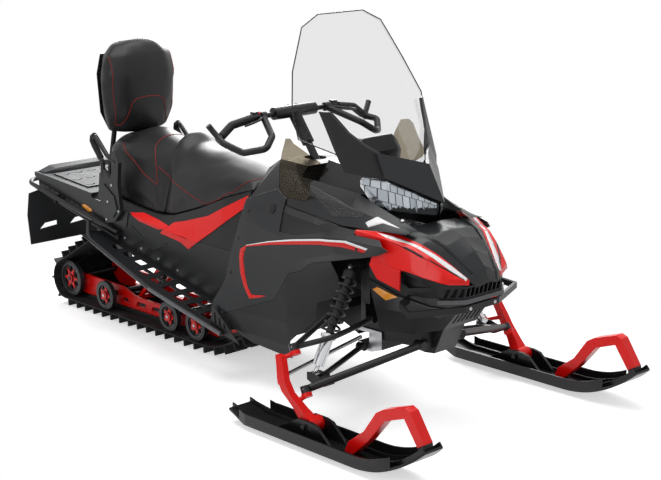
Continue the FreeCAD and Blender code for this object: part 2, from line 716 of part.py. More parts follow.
def make_ski(hand):
    """A moulded ski: sole, keel, high rims, the saddle for the spindle and the two loop lugs."""
    half = ski_width / 2
    sole = ski_band(0, ski_plate, -half, half)
    rims = [ski_band(ski_plate - 1, 46, half - 7, half), ski_band(ski_plate - 1, 46, -half, 7 - half)]
    inner_rims = [ski_band(ski_plate - 1, 26, 40, 47), ski_band(ski_plate - 1, 26, -47, -40)]
    keel = prism([(ski_tail_x + 150, ski_keel_height + 1), (ski_tail_x + 190, 0.0), (1250.0, 0.0), (1300.0, ski_keel_height + 1)], -13, 13)
    top = ski_keel_height + ski_plate
    wall = [(760.0, top - 1), (1090.0, top - 1), (1010.0, ski_pivot_z + 16), (975.0, ski_pivot_z + 24), (905.0, ski_pivot_z + 24)]
    y0 = spindle_width / 2 + spindle_gap
    walls = [prism(wall, y0, y0 + 13), prism(wall, -y0 - 13, -y0)]
    shape = fused([sole, keel] + rims + inner_rims + walls)
    shape = shape.common(plan_prism([
        (ski_tail_x, -0.76 * half), (ski_tail_x + 120, -half), (ski_tip_x - 190, -half), (ski_tip_x - 60, -0.8 * half), (ski_tip_x + 5, -0.5 * half),
        (ski_tip_x + 5, 0.5 * half), (ski_tip_x - 60, 0.8 * half), (ski_tip_x - 190, half), (ski_tail_x + 120, half), (ski_tail_x, 0.76 * half),
    ], -10, 400))
    bolt = rod(V(ski_pivot_x, -y0 - 24, ski_pivot_z), V(ski_pivot_x, y0 + 24, ski_pivot_z), ski_bolt_radius)
    shape = fused([shape, bolt])
    shape.translate(V(0, ski_stance / 2 * hand, 0))
    return shape


def make_ski_loop(hand):
    """The flat handle hoop at the ski's tip."""
    top = ski_keel_height + ski_plate
    outer = [
        (1128.0, top + 0.3), (1152.0, 80.0), (1232.0, 140.0), (1296.0, 226.0), (1330.0, 246.0), (1440.0, 282.0), (1466.0, 272.0), (1534.0, 170.0),
        (1500.0, 150.0), (1436.0, 240.0), (1340.0, 206.0), (1256.0, 108.0), (1170.0, top + 0.3),
    ]
    hoop = prism(outer, -22, 22)
    sole = ski_band(-60, ski_plate + 0.3, -60, 60)
    hoop = hoop.cut(sole)
    hoop.translate(V(0, ski_stance / 2 * hand, 0))
    return hoop


kingpin = (upper_ball - lower_ball).normalize()
ball_radius = 10.0
cup_radius = 18.0
ear_drop = 30.0


def rect_section(centre, sx, sy):
    x, y, z = centre
    return [V(x - sx / 2, y - sy / 2, z), V(x + sx / 2, y - sy / 2, z), V(x + sx / 2, y + sy / 2, z), V(x - sx / 2, y + sy / 2, z)]


def make_spindle(hand):
    """The forged upright: a leg on the ski's bolt, two ears and the steering arm."""
    y = ski_stance / 2
    leg = loft([
        rect_section((ski_pivot_x - 4, y, ski_pivot_z), 52, spindle_width), rect_section((884.0, y + 14, 140.0), 50, 34),
        rect_section((832.0, y + 26, 190.0), 46, 28), rect_section((806.0, y + 26, 232.0), 42, 28),
        rect_section((786.0, y + 14, 280.0), 38, 26), rect_section((768.0, y + 4, 314.0), 36, 26),
    ])
    foot = Part.makeCylinder(30, spindle_width, V(ski_pivot_x, y - spindle_width / 2, ski_pivot_z), V(0, 1, 0))
    pieces = [leg, foot]
    for ball, arm_to in ((lower_ball, V(868.0, y + 16, 158.0)), (upper_ball, V(772.0, y + 4, 302.0))):
        low = ball - kingpin * ear_drop
        high = low + kingpin * 16
        pieces.append(rod(low, high, 21))
        pieces.append(rod(low, ball, 7.5))
        pieces.append(Part.makeSphere(ball_radius, ball))
        middle = (low + high) * 0.5
        pieces.append(rod(middle, arm_to, 9))
    arm_root = V(812.0, y + 22, 218.0)
    reach = tie_eye - arm_root
    pieces.append(Part.makeCone(10, 6.6, reach.Length, arm_root, reach))
    pieces.append(rod(tie_eye - kingpin * 7, tie_eye + kingpin * 7, 15))
    shape = pieces[0].fuse(pieces[1:])
    shape = shape.cut(Part.makeCylinder(ski_bolt_radius + spindle_gap, 200, V(ski_pivot_x, y - 100, ski_pivot_z), V(0, 1, 0)))
    return handed(shape, hand)


def cup(ball, opening):
    """A ball housing around the joint's centre, open downward for the stud."""
    body = rod(ball - kingpin * 14, ball + kingpin * 14, cup_radius)
    body = body.cut(Part.makeSphere(ball_radius + 0.4, ball))
    throat = Part.makeCone(opening, 8.5, 16, ball - kingpin * 15, kingpin)
    return body.cut(throat)


def make_lower_arm():
    """The lower arm: a thick front tube, a rear tube from its shock bracket, and the ball housing."""
    start = lower_ball + (lower_arm_front - lower_ball).normalize() * (cup_radius - 2)
    front = rod(start, lower_arm_front, lower_arm_radius)
    on_front = lower_ball + (lower_arm_front - lower_ball) * 0.2
    behind = V(shock_bottom.x + 8, shock_bottom.y - 52, shock_bottom.z - 4)
    bridge = rod(on_front, behind, 12.0)
    rear = rod(behind, lower_arm_rear, 11.0)
    joint = Part.makeSphere(12.0, behind)
    bushes = [
        rod(lower_arm_front - V(22, 0, 0), lower_arm_front + V(22, 0, 0), 19),
        rod(lower_arm_rear - V(20, 0, 0), lower_arm_rear + V(20, 0, 0), 15),
    ]
    x, y, z = shock_bottom.x, shock_bottom.y, shock_bottom.z
    ear = [(x - 16, z + 14), (x + 18, z + 14), (x + 84, z - 4), (x + 84, z - 22), (x + 10, z - 26), (x - 16, z - 14)]
    ears = [prism(ear, y - 25.5, y - 19.5), prism(ear, y + 19.5, y + 25.5), prism([(x + 34, z - 24), (x + 84, z - 22), (x + 84, z - 4), (x + 50, z + 6)], y - 25, y + 25)]
    shape = cup(lower_ball, 12.0).fuse([front, bridge, rear, joint] + bushes + ears)
    return both(shape)


def make_upper_arm():
    """The upper arm: a front tube bent around the shock and a straight rear tube, meeting at the ball housing."""
    start = upper_ball + (upper_arm_bends[0] - upper_ball).normalize() * (cup_radius - 3)
    front = tube([start] + list(upper_arm_bends) + [upper_arm_front], upper_arm_radius, 120.0)
    start = upper_ball + (upper_arm_rear - upper_ball).normalize() * (cup_radius - 3)
    rear = rod(start, upper_arm_rear, upper_arm_radius)
    bushes = [rod(p - V(18, 0, 0), p + V(18, 0, 0), 15) for p in (upper_arm_front, upper_arm_rear)]
    return both(cup(upper_ball, 12.0).fuse([front, rear] + bushes))


def make_shock():
    """The damper: silver body below, thinner shaft above, an eye at each end."""
    axis = (shock_top - shock_bottom).normalize()
    low = shock_bottom
    body = rod(low + axis * 36, low + axis * 165, 23)
    shaft = rod(low + axis * 160, shock_top - axis * 12, 16)
    cap = rod(shock_top - axis * 50, shock_top - axis * 20, 30)
    seat = rod(low + axis * 150, low + axis * 162, 31)
    eyes = [rod(low - V(0, 19, 0), low + V(0, 19, 0), 16), rod(shock_top - V(0, 16, 0), shock_top + V(0, 16, 0), 15)]
    necks = [rod(low, low + axis * 40, 8.5), rod(shock_top, shock_top - axis * 30, 10)]
    return both(body.fuse([shaft, cap, seat] + eyes + necks))


def make_spring():
    """The coil between the body's collar and the cap."""
    axis = (shock_top - shock_bottom).normalize()
    start = shock_bottom + axis * 167.4
    length = (shock_top - axis * 55.4 - start).Length
    pitch = length / 7
    coil_radius = 32.0
    helix = Part.makeHelix(pitch, length, coil_radius)
    ring = Part.Wire([Part.makeCircle(5.0, V(coil_radius, 0, 0), V(0, 1, 0))])
    coil = Part.Wire(helix).makePipeShell([ring], True, True)
    coil.Placement = FreeCAD.Placement(start, FreeCAD.Rotation(V(0, 0, 1), axis))
    return both(coil)


def make_tie_rod(hand):
    """The rod from the steering arm's eye in to the middle, its own eye on top of the arm's."""
    eye = tie_eye + kingpin * (7 + tie_gap + tie_rod_radius)
    bar = rod(tie_inner, eye, tie_rod_radius)
    ring = rod(eye - kingpin * tie_rod_radius, eye + kingpin * tie_rod_radius, 15)
    return handed(bar.fuse([ring]), hand)


# Body panels

def thick_section(points, inward):
    """A closed section: outer points, and the same points moved inward."""
    return points + [p + inward for p in reversed(points)]


def skin(stations, inward):
    """A panel's skin through stations, each a list of outer points, with one wall thickness."""
    return loft([thick_section(s, inward) for s in stations])


def make_side_skin():
    """The whole left flank of the body, before its panels are cut out of it."""
    rows = [
        (40.0, ((255.0, 860.0), (292.0, 780.0), (305.0, 700.0), (318.0, 560.0), (345.0, 400.0), (372.0, 320.0), (362.0, 250.0), (330.0, 130.0))),
        (240.0, ((262.0, 860.0), (302.0, 780.0), (318.0, 700.0), (324.0, 580.0), (336.0, 420.0), (350.0, 320.0), (350.0, 240.0), (310.0, 130.0))),
        (480.0, ((258.0, 830.0), (290.0, 770.0), (326.0, 676.0), (322.0, 570.0), (318.0, 440.0), (312.0, 320.0), (285.0, 210.0), (240.0, 130.0))),
        (760.0, ((236.0, 800.0), (262.0, 765.0), (330.0, 722.0), (318.0, 650.0), (262.0, 560.0), (222.0, 440.0), (206.0, 380.0), (190.0, 300.0))),
        (1060.0, ((206.0, 790.0), (232.0, 760.0), (286.0, 716.0), (262.0, 676.0), (216.0, 600.0), (190.0, 520.0), (176.0, 440.0), (160.0, 360.0))),
    ]
    stations = [[V(x, y, z) for y, z in row] for x, row in rows]
    return skin(stations, V(0, -panel_wall, 0))


flank = make_side_skin()

side_panel_outline = [
    (372.0, 843.0), (225.0, 790.0), (205.0, 720.0), (142.0, 556.0), (118.0, 436.0), (62.0, 336.0), (98.0, 286.0), (411.0, 404.0), (503.0, 530.0),
    (562.0, 548.0), (632.0, 594.0), (905.0, 658.0), (975.0, 678.0), (1030.0, 704.0), (975.0, 735.0), (760.0, 742.0), (560.0, 694.0), (452.0, 690.0), (440.0, 815.0),
]
lower_panel_outline = [
    (90.0, 320.0), (104.0, 283.4), (273.0, 192.0), (444.0, 148.0), (470.0, 234.0), (600.0, 352.0), (622.0, 425.0), (735.0, 470.0),
    (735.0, 640.0), (600.0, 640.0), (500.0, 560.0), (400.0, 450.0),
]
vent_outline = [
    (441.0, 790.6), (447.0, 684.0), (560.0, 686.0), (760.0, 734.0), (846.0, 731.0), (846.0, 750.0), (760.0, 753.3), (450.0, 790.3),
]


def make_side_panel(hand):
    return handed(flank.common(prism(side_panel_outline, 100, 500)), hand)


def make_lower_panel():
    """The panel under the seam, down to the belly."""
    upper = prism([(x, z - 0.7) for x, z in side_panel_outline], 100, 500)
    return both(flank.common(prism(lower_panel_outline, 100, 500)).cut(upper))


def make_vent_panel():
    """The recessed sheet between the side panel's ledge and the upper panel."""
    sheet = flank.copy()
    sheet.translate(V(0, -panel_wall - 0.5, 0))
    return both(sheet.common(prism(vent_outline, 100, 500)))


def make_upper_panel():
    stations = [
        [V(450.0, 206.0, 900.0), V(450.0, 262.0, 850.0), V(450.0, 276.0, 792.0)],
        [V(760.0, 178.0, 868.0), V(760.0, 222.0, 820.0), V(760.0, 262.0, 756.0)],
        [V(1050.0, 150.0, 766.0), V(1050.0, 182.0, 764.0), V(1050.0, 212.0, 758.0)],
    ]
    return both(skin(stations, V(0, -panel_wall, -2)))


hood_stations = (
    (985.0, ((196.0, 752.0), (162.0, 758.0), (156.0, 748.0), (122.0, 757.0), (0.0, 765.0))),
    (1090.0, ((167.0, 720.0), (133.0, 735.0), (127.0, 725.0), (112.0, 742.0), (0.0, 753.0))),
    (1146.0, ((134.0, 685.0), (110.0, 706.0), (105.0, 696.0), (94.0, 712.0), (0.0, 728.0))),
    (1203.0, ((107.0, 641.0), (89.0, 660.0), (84.0, 651.0), (74.0, 664.0), (0.0, 690.0))),
    (1255.0, ((84.0, 599.0), (68.0, 612.0), (63.0, 603.0), (54.0, 611.0), (0.0, 634.0))),
    (1273.0, ((62.0, 573.0), (52.0, 580.0), (47.0, 573.0), (40.0, 577.0), (0.0, 588.0))),
)
hood_gap = 0.6


def make_hood():
    """The centre of the bonnet: a raised middle between two channels, falling to the nose."""
    stations = []
    for x, half in hood_stations:
        right = [V(x, -y, z) for y, z in half]
        left = [V(x, y, z) for y, z in reversed(half[:-1])]
        stations.append(right + left)
    return skin(stations, V(0, 0, -6))


def make_nose_panel():
    """A red panel beside the bonnet: a top facet, a steep side facet and a hooked lower leg."""
    sides = {
        985.0: ((252.0, 738.0), (264.0, 640.0)), 1090.0: ((212.0, 709.0), (236.0, 628.0)), 1146.0: ((190.0, 676.0), (214.0, 612.0)),
        1203.0: ((166.0, 633.0), (186.0, 598.0)), 1255.0: ((88.0, 597.0), (90.0, 583.0)),
    }
    outer = [(850.0, ((274.0, 757.0), (280.0, 754.0), (283.0, 744.0)))]
    for x, half in hood_stations[:-1]:
        edge = (half[0][0] + hood_gap, half[0][1])
        if x == 1255.0:
            outer.append((1222.0, ((99.6, 625.0), (160.0, 612.0), (165.0, 592.0))))
        outer.append((x, (edge,) + sides[x]))
    sections = []
    for x, row in outer:
        inner = [(row[0][0], row[0][1] - 4), (row[1][0] - 4.5, row[1][1] - 4), (row[2][0] - 4.5, row[2][1] - 4)]
        sections.append([V(x, y, z) for y, z in list(row) + inner[::-1]])
    upper = loft(sections)
    leg = loft([
        thick_section([V(940.0, 262.0, 700.0), V(1060.0, 226.0, 650.0)], V(0, -6, 0)),
        thick_section([V(928.0, 284.0, 636.0), V(1052.0, 246.0, 622.0)], V(0, -6, 0)),
        thick_section([V(962.0, 276.0, 585.0), V(1046.0, 242.0, 548.0)], V(0, -6, 0)),
    ])
    return both(upper.fuse(leg))


def around(x, rows):
    """A closed section at one x from (half width, height) rows, bottom first."""
    return [V(x, -y, z) for y, z in rows] + [V(x, y, z) for y, z in reversed(rows)]


def make_fascia():
    """The black front between bonnet and belly pan, with side inlets, the slatted grille and its lip."""
    body = loft([
        around(872.0, ((230.0, 560.6), (232.0, 575.0), (222.0, 640.0))),
        around(1020.0, ((208.0, 514.6), (214.0, 530.0), (222.0, 630.0))),
        around(1130.0, ((158.0, 486.6), (200.0, 528.0), (210.0, 612.0))),
        around(1186.0, ((108.0, 477.0), (176.0, 533.0), (186.0, 596.0))),
        around(1250.0, ((96.0, 506.0), (102.0, 528.0), (92.0, 574.0))),
    ])
    hollow = loft([
        around(862.0, ((206.0, 540.0), (206.0, 628.0))), around(1020.0, ((186.0, 500.0), (196.0, 614.0))),
        around(1124.0, ((136.0, 470.0), (180.0, 596.0))),
    ])
    inlet = prism([(1034.0, 612.0), (1120.0, 596.0), (1158.0, 572.0), (1064.0, 556.0), (1036.0, 574.0)], 194, 260)
    pocket = plan_prism([(1186.0, -162.0), (1232.0, -96.0), (1232.0, 96.0), (1186.0, 162.0), (1320.0, 162.0), (1320.0, -162.0)], 534.0, 566.0)
    fins = []
    for i in range(-6, 7):
        y = i * 24.0
        corners = [V(1170.0, y - 9, 530.0), V(1170.0, y - 3, 530.0), V(1170.0, y + 9, 570.0), V(1170.0, y + 3, 570.0)]
        fins.append(Part.Face(Part.makePolygon(corners + corners[:1])).extrude(V(100, 0, 0)).common(body))
    lip = plan_prism([
        (1180.0, -176.0), (1188.0, -184.0), (1258.0, -106.0), (1258.0, 106.0), (1188.0, 184.0), (1180.0, 176.0), (1220.0, 90.0), (1220.0, -90.0),
    ], 509.0, 525.0)
    stem = block(1236.0, 1246.0, -20.0, 20.0, 570.0, 628.6)
    shape = body.cut(Part.makeCompound([hollow, inlet, mirrored(inlet), pocket]))
    return shape.fuse(fins + [lip, stem])


def make_belly_pan():
    """The pan under the nose: open above, with a slotted front and a skid wedge below."""
    outer = loft([
        around(872.0, ((176.0, 342.0), (202.0, 440.0), (236.0, 560.0))), around(1020.0, ((138.0, 350.0), (166.0, 440.0), (213.0, 514.0))),
        around(1130.0, ((90.0, 380.0), (112.0, 432.0), (163.0, 486.0))), around(1186.0, ((86.0, 450.0), (92.0, 460.0), (112.0, 476.0))),
    ])
    inner = loft([
        around(868.0, ((168.0, 350.0), (194.0, 442.0), (228.0, 566.0))), around(1016.0, ((130.0, 358.0), (158.0, 442.0), (205.0, 522.0))),
        around(1122.0, ((82.0, 388.0), (104.0, 436.0), (155.0, 496.0))), around(1174.0, ((78.0, 456.0), (84.0, 464.0), (104.0, 484.0))),
    ])
    slots = [block(1100.0, 1220.0, y - 5, y + 5, 404.0, 444.0) for y in (-60.0, -36.0, -12.0, 12.0, 36.0, 60.0)]
    wedge = prism([
        (915.0, 274.6), (1046.4, 283.6), (1046.4, 352.0), (1072.0, 366.0), (1104.0, 374.0), (1052.0, 262.0), (1000.0, 256.0), (940.0, 262.0),
    ], -60, 60)
    return outer.cut(inner).cut(Part.makeCompound(slots)).fuse(wedge)


def mitred_band(points, thick):
    """The plan outline of a flat strip that follows a path of (x, y) points, mitred at its corners."""
    left, right = [], []
    for i, (x, y) in enumerate(points):
        before = points[max(i - 1, 0)]
        after = points[min(i + 1, len(points) - 1)]
        arriving = V(x - before[0], y - before[1], 0)
        leaving = V(after[0] - x, after[1] - y, 0)
        if i == 0:
            arriving = leaving
        if i == len(points) - 1:
            leaving = arriving
        arriving.normalize()
        leaving.normalize()
        along = (arriving + leaving).normalize()
        side = V(-along.y, along.x, 0) * (thick / 2 / along.dot(leaving))
        left.append((x + side.x, y + side.y))
        right.append((x - side.x, y - side.y))
    return left + right[::-1]


def make_front_bumper():
    """The flat angular bar across the nose, rising towards its rear ends."""
    half = [(1056.2, 203.6), (1078.0, 266.0), (1150.0, 296.0), (1240.0, 92.0)]
    path = half + [(x, -y) for x, y in reversed(half)]
    centre = [(1040.0, 513.0), (1078.0, 503.0), (1150.0, 485.9), (1260.0, 483.5)]
    height = [(x, z + 12.0) for x, z in centre] + [(x, z - 12.0) for x, z in reversed(centre)]
    return plan_prism(mitred_band(path, 12.0), 440.0, 560.0).common(prism(height, -320, 320))


def make_reflector():
    """The amber lenses: one on the belly pan's side and one on the deck's skirt."""
    side = loft([
        [V(872.0, 202.3, 440.0), V(872.0, 236.3, 560.0), V(872.0, 239.3, 560.0), V(872.0, 205.3, 440.0)],
        [V(1020.0, 166.3, 440.0), V(1020.0, 213.3, 514.0), V(1020.0, 216.3, 514.0), V(1020.0, 169.3, 440.0)],
    ])
    front = side.common(prism([(884.0, 520.0), (912.0, 535.0), (1008.0, 510.0), (936.0, 482.0)], 150, 300))
    y0 = tunnel_side + 4.3
    rear = prism([(-1098.0, 553.0), (-1070.0, 560.0), (-1018.0, 544.0), (-1014.0, 532.0), (-1040.0, 528.0), (-1080.0, 540.0)], y0, y0 + 3)
    return Part.makeCompound([front, mirrored(front), rear, mirrored(rear)])


def make_bulkhead():
    """The frame at the front: a tub that carries the arms and a tower on each side for the shock's upper eye."""
    tub = prism([
        (330.4, 400.0), (500.0, 380.0), (560.0, 300.0), (660.0, 262.0), (860.0, 272.0), (1046.0, 284.0), (1046.0, 350.6), (866.0, 341.0),
        (866.0, 400.0), (800.0, 482.2), (330.4, 482.2),
    ], -88.7, 88.7)
    boss = prism([(664.0, 206.0), (740.0, 206.0), (800.0, 226.0), (800.0, 300.0), (664.0, 300.0)], -96.7, 96.7)
    window = block(660.0, 728.0, -120.0, 120.0, 238.0, 284.0)
    body = tub.fuse(boss).cut(window)
    x, z = upper_arm_front.x, upper_arm_front.z
    pieces = [body]
    for h in (-1, 1):
        y0, y1 = sorted((80.0 * h, 176.0 * h))
        pieces.append(block(x - 44, x - 18.3, y0, y1, z - 14, 440))
        y0, y1 = sorted((168.0 * h, 176.0 * h))
        pieces.append(block(x - 44, x + 6, y0, y1, 436, 612))
        y0, y1 = sorted((170.0 * h, (shock_top.y - 16.3) * h))
        pieces.append(block(shock_top.x - 16, shock_top.x + 16, y0, y1, shock_top.z - 14, shock_top.z + 14))
        x1, z1 = upper_arm_rear.x, upper_arm_rear.z
        y0, y1 = sorted((80.0 * h, 176.0 * h))
        pieces.append(block(x1 + 18.3, x1 + 40, y0, y1, z1 - 14, z1 + 14))
    return fused(pieces)


def make_engine():
    return block(450.0, 830.0, -165.0, 165.0, 482.5, 700.0)


def make_tank():
    """The tank cover between the seat and the screen, with an opening for the steering column."""
    def section(x, low, low_half, shelf, shelf_half, top, top_half):
        left = [V(x, low_half, low), V(x, shelf_half, shelf), V(x, top_half, top)]
        return left + [V(p.x, -p.y, p.z) for p in reversed(left)]
    cover = loft([
        section(90.4, 600.0, 150.0, 700.0, 160.0, 776.0, 136.0), section(150.0, 600.0, 200.0, 770.0, 210.0, 880.0, 110.0),
        section(240.0, 700.0, 240.0, 800.0, 287.4, 930.0, 120.0), section(440.0, 720.0, 250.0, 800.0, 272.4, 930.0, 150.0),
    ])
    axis = (column_top - column_base).normalize()
    return cover.cut(rod(column_base - axis * 60, column_top, 42.0))


def side_sections(rows):
    """A solid through side-view outlines, each at its own y."""
    return loft([[V(x, y, z) for x, z in outline] for y, outline in rows])


def make_cowl():
    """The pointed cowl over the lamps: a raised wall around the screen's foot, a shelf that the screen stands on, and the body behind."""
    wall = side_sections([
        (0.0, ((1050.0, 846.0), (968.0, 988.0), (950.0, 984.0), (946.0, 907.3), (900.0, 907.3), (900.0, 884.0), (1012.0, 843.0))),
        (72.0, ((966.0, 892.0), (892.0, 1010.0), (878.0, 1005.0), (915.0, 903.0), (872.0, 903.0), (872.0, 896.0), (944.0, 887.0))),
        (145.0, ((878.0, 940.0), (830.0, 1031.0), (818.0, 1027.0), (852.0, 932.0), (828.0, 932.0), (828.0, 918.0), (864.0, 934.0))),
    ])
    body = loft([
        [V(520.0, -172.0, 870.0), V(520.0, 172.0, 870.0), V(520.0, 110.0, 960.0), V(520.0, -110.0, 960.0)],
        [V(760.0, -173.6, 863.6), V(760.0, 173.6, 863.6), V(760.0, 118.0, 936.0), V(760.0, -118.0, 936.0)],
        [V(820.0, -128.0, 868.0), V(820.0, 128.0, 868.0), V(820.0, 104.0, 930.0), V(820.0, -104.0, 930.0)],
    ])
    neck = loft([
        [V(819.0, -104.0, 905.0), V(819.0, 104.0, 905.0), V(819.0, 100.0, 930.0), V(819.0, -100.0, 930.0)],
        [V(904.0, -50.0, 888.0), V(904.0, 50.0, 888.0), V(904.0, 46.0, 906.8), V(904.0, -46.0, 906.8)],
    ])
    return fused([wall, mirrored(wall), body, neck])


def make_headlamp():
    """A wedge lamp under the cowl, tall at its outer end."""
    return both(side_sections([
        (8.0, ((885.0, 792.0), (1020.0, 792.0), (1030.0, 841.8), (1010.0, 844.8), (895.0, 882.4))),
        (75.0, ((862.0, 797.0), (975.0, 802.0), (962.0, 885.8), (943.0, 881.8), (868.0, 885.8))),
        (140.0, ((824.0, 806.0), (892.0, 812.0), (880.0, 929.8), (864.0, 925.8), (828.0, 903.8))),
        (176.0, ((770.0, 900.0), (790.0, 905.0), (802.0, 936.8), (784.0, 939.8), (768.0, 926.8))),
    ]))


def screen_skin(shift, wall):
    """The screen's curved sheet, moved forward by shift, with its wall behind that surface."""
    def row(x, half, z, sweep):
        shares = (-1.0, -0.75, -0.5, -0.25, 0.0, 0.25, 0.5, 0.75, 1.0)
        return [V(x + shift - sweep * t * t, half * t, z) for t in shares]
    stations = [
        row(926.0, 324.0, 880.0, 250.0), row(900.0, 330.0, 920.0, 240.0), row(836.0, 344.0, 1040.0, 215.0), row(748.0, 352.0, 1190.0, 165.0),
        row(640.0, 300.0, 1330.0, 110.0), row(540.0, 235.0, 1450.0, 40.0), row(505.0, 213.0, 1490.0, 16.0), row(483.0, 120.0, windshield_crown_z, 2.0),
    ]
    return skin(stations, V(-wall, 0, 0))


def make_windshield():
    """The tall curved screen, trimmed along its lower edge."""
    lower = [
        (-400.0, 1110.0), (-350.0, 1085.0), (-236.0, 1015.0), (-150.0, 950.0), (-80.0, 912.4), (0.0, 907.8), (80.0, 912.4), (150.0, 950.0),
        (236.0, 1015.0), (350.0, 1085.0), (400.0, 1110.0), (400.0, 800.0), (-400.0, 800.0),
    ]
    points = [V(300.0, y, z) for y, z in lower]
    return screen_skin(0.0, windshield_wall).cut(Part.Face(Part.makePolygon(points + points[:1])).extrude(V(800, 0, 0)))


def make_screen_post(cowl):
    """The tapered black horn that rises from the cowl outside the screen."""
    outline = [(658.0, 1188.0), (681.0, 1185.0), (740.0, 1107.0), (822.0, 1028.0), (880.0, 960.0), (862.0, 936.0), (763.0, 962.0), (719.0, 1054.0)]
    post = screen_skin(19.0, 10.0).common(prism(outline, 60, 400))
    return both(post.cut(cowl))


def make_deflector():
    """The smoked wing below and outside the screen's edge."""
    stations = [
        [V(400.0, 293.7, 1085.0), V(400.0, 306.0, 950.0), V(400.0, 279.0, 820.0)],
        [V(560.0, 333.2, 1085.0), V(560.0, 316.0, 950.0), V(560.0, 258.8, 820.0)],
        [V(720.0, 248.6, 1085.0), V(720.0, 256.0, 950.0), V(720.0, 233.0, 820.0)],
    ]
    outline = [
        (419.0, 862.0), (470.0, 1012.0), (501.0, 1070.0), (537.0, 1075.0), (612.0, 1020.0), (690.0, 966.0), (664.0, 938.0), (600.0, 905.0),
        (575.0, 845.0), (540.0, 821.0), (452.0, 815.0), (430.0, 830.0),
    ]
    return both(skin(stations, V(0, -3, 0)).common(prism(outline, 200, 400)))


def make_console():
    """The faceted instrument housing behind the screen, its rear face towards the driver."""
    middle = [(600.0, 952.3), (716.0, 940.7), (724.0, 1008.0), (690.0, 1062.0), (606.0, 1048.0)]
    end = [(620.0, 962.0), (700.0, 954.0), (704.0, 1000.0), (680.0, 1036.0), (624.0, 1026.0)]
    half = side_sections([(0.0, middle), (76.0, middle), (112.0, end)])
    return fused([half, mirrored(half)])


# Handlebar

bar_half = [V(185.0, 0.0, 1106.0), V(190.0, 110.0, 1108.0), V(200.0, 215.0, 1110.0), V(192.0, 335.0, 1090.0), V(192.0, 388.0, 1052.0)]


def make_handlebar():
    """The bar with its hooked ends, pad, riser and column."""
    left = tube(bar_half, bar_tube / 2, 34.0)
    column = rod(column_base, column_top, column_radius)
    axis = (column_top - column_base).normalize()
    riser = rod(column_top - axis * 150, column_top - axis * 6, 26)
    pad = rod(V(188.0, -112.0, 1110.0), V(188.0, 112.0, 1110.0), 26)
    switch = block(180.0, 206.0, 204.0, 228.0, 1092.0, 1132.0)
    return fused([left, mirrored(left), column, riser, pad, switch, mirrored(switch)])


def make_grip():
    """The two rubber grips, each around the bar's hooked end."""
    start = bar_half[2] + (bar_half[3] - bar_half[2]) * 0.16
    outer = tube([start] + bar_half[3:], 17, 34.0)
    bore = tube(bar_half, bar_tube / 2, 34.0)
    return both(outer.cut(bore))


def make_hand_guard():
    """The loop that wraps around each grip, from the bar's end to the inner clamp."""
    outward = (bar_half[4] - bar_half[3]).normalize()
    start = bar_half[4] + outward * 0.3
    root = start + outward * 16
    stub = rod(start, start + outward * 26, 14)
    path = [root, V(246.0, 424.0, 1034.0), V(305.0, 372.0, 996.0), V(362.0, 300.0, 1010.0), V(335.0, 245.0, 1050.0), V(208.0, 180.0, 1103.0)]
    loop = tube(path, 14, 30.0)
    fin = rod(root, V(176.0, 442.0, 1100.0), 12)
    along = (bar_half[2] - bar_half[1]).normalize()
    middle = bar_half[1] + along * 68
    clamp = rod(middle - along * 14, middle + along * 14, 19)
    bore = rod(middle - along * 40, middle + along * 33, bar_tube / 2 + 0.3)
    return both(fused([loop, stub, fin, clamp]).cut(bore))


save("track", make_track())
save("skid_rails", make_rails())
save("rail_slides", make_slides())
save("rear_idlers", make_rear_idlers())
save("skid_wheels", make_skid_wheels())
save("skid_axles", make_skid_axles())
save("skid_arms", make_skid_arms())
save("skid_shocks", make_skid_shocks())
save("drive_axle", make_drive_axle())
save("tunnel", make_tunnel())
save("toe_guards", make_toe_guard())
save("rear_bumper", make_rear_bumper())
save("cargo_deck", make_cargo_deck())
save("snow_flap", make_flap())
save("seat_base", make_seat_base())
save("side_trim", make_side_trim())
save("driver_seat", make_driver_seat())
save("passenger_seat", make_passenger_seat())
save("backrest_pad", make_backrest_pad())
save("backrest_frame", make_backrest_frame())
save("grab_handles", make_grab_handle())
save("tank_cover", make_tank())
save("lower_panels", make_lower_panel())
save("vent_panels", make_vent_panel())
save("upper_panels", make_upper_panel())
save("nose_panels", make_nose_panel())
save("hood", make_hood())
save("front_fascia", make_fascia())
save("belly_pan", make_belly_pan())
save("front_bumper", make_front_bumper())
save("bulkhead", make_bulkhead())
save("engine_block", make_engine())
cowl = make_cowl()
save("headlamp_cowl", cowl)
save("screen_posts", make_screen_post(cowl))
save("reflectors", make_reflector())
save("headlamps", make_headlamp())
save("windshield", make_windshield())
save("wind_deflectors", make_deflector())
save("instrument_housing", make_console())
save("lower_arms", make_lower_arm())
save("upper_arms", make_upper_arm())
save("shocks", make_shock())
save("springs", make_spring())
save("handlebar", make_handlebar())
save("grips", make_grip())
save("hand_guards", make_hand_guard())
for name, hand in (("right", -1), ("left", 1)):
    save("running_board_" + name, make_board(hand))
    save("side_panel_" + name, make_side_panel(hand))
    save("ski_" + name, make_ski(hand))
    save("ski_loop_" + name, make_ski_loop(hand))
    save("spindle_" + name, make_spindle(hand))
    save("tie_rod_" + name, make_tie_rod(hand))
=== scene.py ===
# %% [markdown]
# # A two-seat utility snowmobile
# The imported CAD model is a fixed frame: every node is already in its place, in metres, with +X forward and the
# origin on the snow. This lesson dresses it: first the camera and the light, then the finishes, then each group of
# pieces, from the track up to the screen.

# %% The frame
import json
import math

import bmesh
import bpy
import numpy as np
from mathutils import Matrix, Vector
from mathutils.bvhtree import BVHTree

